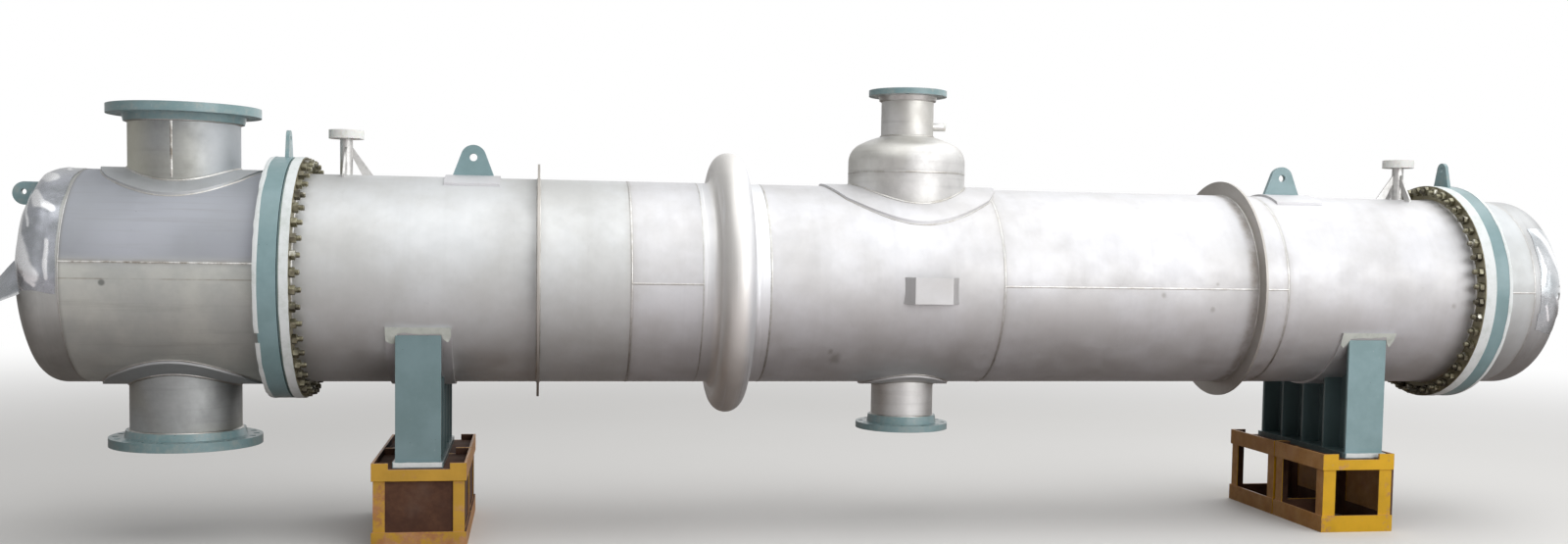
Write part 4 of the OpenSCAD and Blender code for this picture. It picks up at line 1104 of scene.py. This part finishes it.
def add_joint_tape(white):
    sheet_lo, sheet_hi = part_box("channel_tubesheet")
    flange_lo, flange_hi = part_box("return_girth_flange")
    left, right = low("channel_girth_flange").x, flange_hi.x
    bands = {
        "channel_rim_tape": rim_tape(sheet_lo.x + 7 * MM, sheet_hi.x - 1 * MM, 3),
        "return_rim_tape": rim_tape(flange_lo.x + 9 * MM, low("return_tubesheet").x + 4 * MM, 5),
        "channel_edge_tape": rim_tape(left + 7 * MM, left - 13 * MM, 7, (-24, 331), 4 * MM, 3 * MM),
        "return_edge_tape": rim_tape(right - 5 * MM, right + 17 * MM, 9, ragged=4 * MM, flare=4 * MM),
    }
    for name, band in bands.items():
        piece(name, band, white, 60)


def add_films():
    film = shrunk_film("channel_film", (0.33, 0.35, 0.37), (0.48, 0.50, 0.55))
    head_film("channel_head", -1, (104, -8), (0.20, 0.985), LEFT_FOLDS, 3, film, LOOSE_END)
    film = shrunk_film("return_film", (0.43, 0.46, 0.48), (0.58, 0.60, 0.62))
    head_film("return_head", 1, (44, -22), (0.28, 0.95), RIGHT_FOLDS, 8, film)


def add_saddle_tape(white):
    for saddle, seed in (("left_saddle", 11), ("right_saddle", 12)):
        piece(saddle + "_base_tape", base_tape(saddle, seed), white, 60)
    cream = tape_paper("cream_tape", (0.62, 0.65, 0.60), (0.42, 0.46, 0.41))
    for saddle in TAPE_EDGES:
        for side, where in ((-1, "front"), (1, "back")):
            piece(saddle + "_tape_" + where, saddle_tape(saddle, side), cream, 50)


def add_details():
    add_welds()
    add_bolts()
    white = tape_paper("white_tape", (0.78, 0.82, 0.82), (0.60, 0.65, 0.62))
    add_joint_tape(white)
    add_films()
    add_saddle_tape(white)


# Floor, world and lamps

FLOOR_HALF = 60
# The floor as the metal and bounced light see it: painted shade near the object, paler further out, with
# where that fade runs along Y.
FLOOR_SHADE_IN_METAL = ((0.17, 0.14, 0.125), (0.70, 0.65, 0.65))
FLOOR_SHADE_IN_METAL_FADE = (-0.3, -2.6)
FLOOR_FADE = (4.5, 15)
LIGHT_FADE_X = (-0.55, 0.40)
PAINT_LIGHT = (0.12, 0.86)
METAL_LIGHT = (0.48, 1.08)
LAMPS = {
    "overhead": ((1.5, -1.0, 7.0), (0.8, 0, 1), (14, 7), 360),
    "front_right": ((5.0, -8.5, 4.0), (1.0, 0, 1), (8, 5), 310),
}


def floor_finish():
    """Pale floor that fades to the white background; in the metal and in bounced light it is a workshop's
    grey, with painted shade that makes it darkest near the object.
    """
    tree = Tree("pale_floor")
    tone = tree.mix(tree.noise(0.35, 3, 0.5), (0.74, 0.73, 0.71), (0.78, 0.77, 0.755))
    seen = tree.add("LightPath").outputs["Is Camera Ray"]
    mirrored_shade = tree.tint(*FLOOR_SHADE_IN_METAL, tree.axis("Y"), *FLOOR_SHADE_IN_METAL_FADE)
    tree.finish(tree.mix(seen, mirrored_shade, tone), 0.7, 0.0)
    distance = tree.add("VectorMath", Vector=tree.place)
    distance.operation = "LENGTH"
    glow = tree.add("Emission", Color=(1, 1, 1, 1))
    fade = tree.times(tree.steps(distance.outputs["Value"], *FLOOR_FADE), seen)
    both = tree.add("MixShader")
    for socket, source in zip(both.inputs, (fade, tree.shader.outputs[0], glow.outputs[0])):
        tree.feed(socket, source)
    tree.feed(tree.out.inputs[0], both.outputs[0])
    return tree.material


def add_floor():
    mesh = bpy.data.meshes.new("floor")
    corners = [(x * FLOOR_HALF, y * FLOOR_HALF, 0) for x, y in ((-1, -1), (1, -1), (1, 1), (-1, 1))]
    mesh.from_pydata(corners, [], [(0, 1, 2, 3)])
    mesh.materials.append(floor_finish())
    floor = bpy.data.objects.new("floor", mesh)
    bpy.context.scene.collection.objects.link(floor)


def add_world():
    """White behind the object; the light is dimmer on the channel's side, and paint gets less than metal."""
    world = bpy.data.worlds.new("studio")
    bpy.context.scene.world = world
    nodes = Nodes(world)
    path = nodes.add("LightPath").outputs
    side = nodes.add("SeparateXYZ", Vector=nodes.add("TexCoord").outputs["Generated"]).outputs["X"]
    paint, metal = (nodes.steps(side, *LIGHT_FADE_X, *levels) for levels in (PAINT_LIGHT, METAL_LIGHT))
    light = nodes.add("Mix", Factor=path["Is Glossy Ray"], A=paint, B=metal).outputs["Result"]
    seen = nodes.add("Mix", Factor=path["Is Camera Ray"], A=light, B=1.0).outputs["Result"]
    nodes.fill(world.node_tree.nodes["Background"], {"Strength": seen, "Color": (1, 1, 1, 1)})


def add_lamp(name, at, towards, size, power):
    data = bpy.data.lights.new(name, "AREA")
    data.shape = "RECTANGLE"
    data.size, data.size_y = size
    data.energy = power
    lamp = bpy.data.objects.new(name, data)
    lamp.location = at
    lamp.rotation_euler = (Vector(towards) - Vector(at)).to_track_quat("-Z", "Y").to_euler()
    bpy.context.scene.collection.objects.link(lamp)


def add_stage():
    add_floor()
    add_world()
    for name, lamp in LAMPS.items():
        add_lamp(name, *lamp)
    bpy.context.scene.view_settings.view_transform = "Standard"


add_camera()
dress_steel()
dress_the_rest()
add_details()
add_stage()
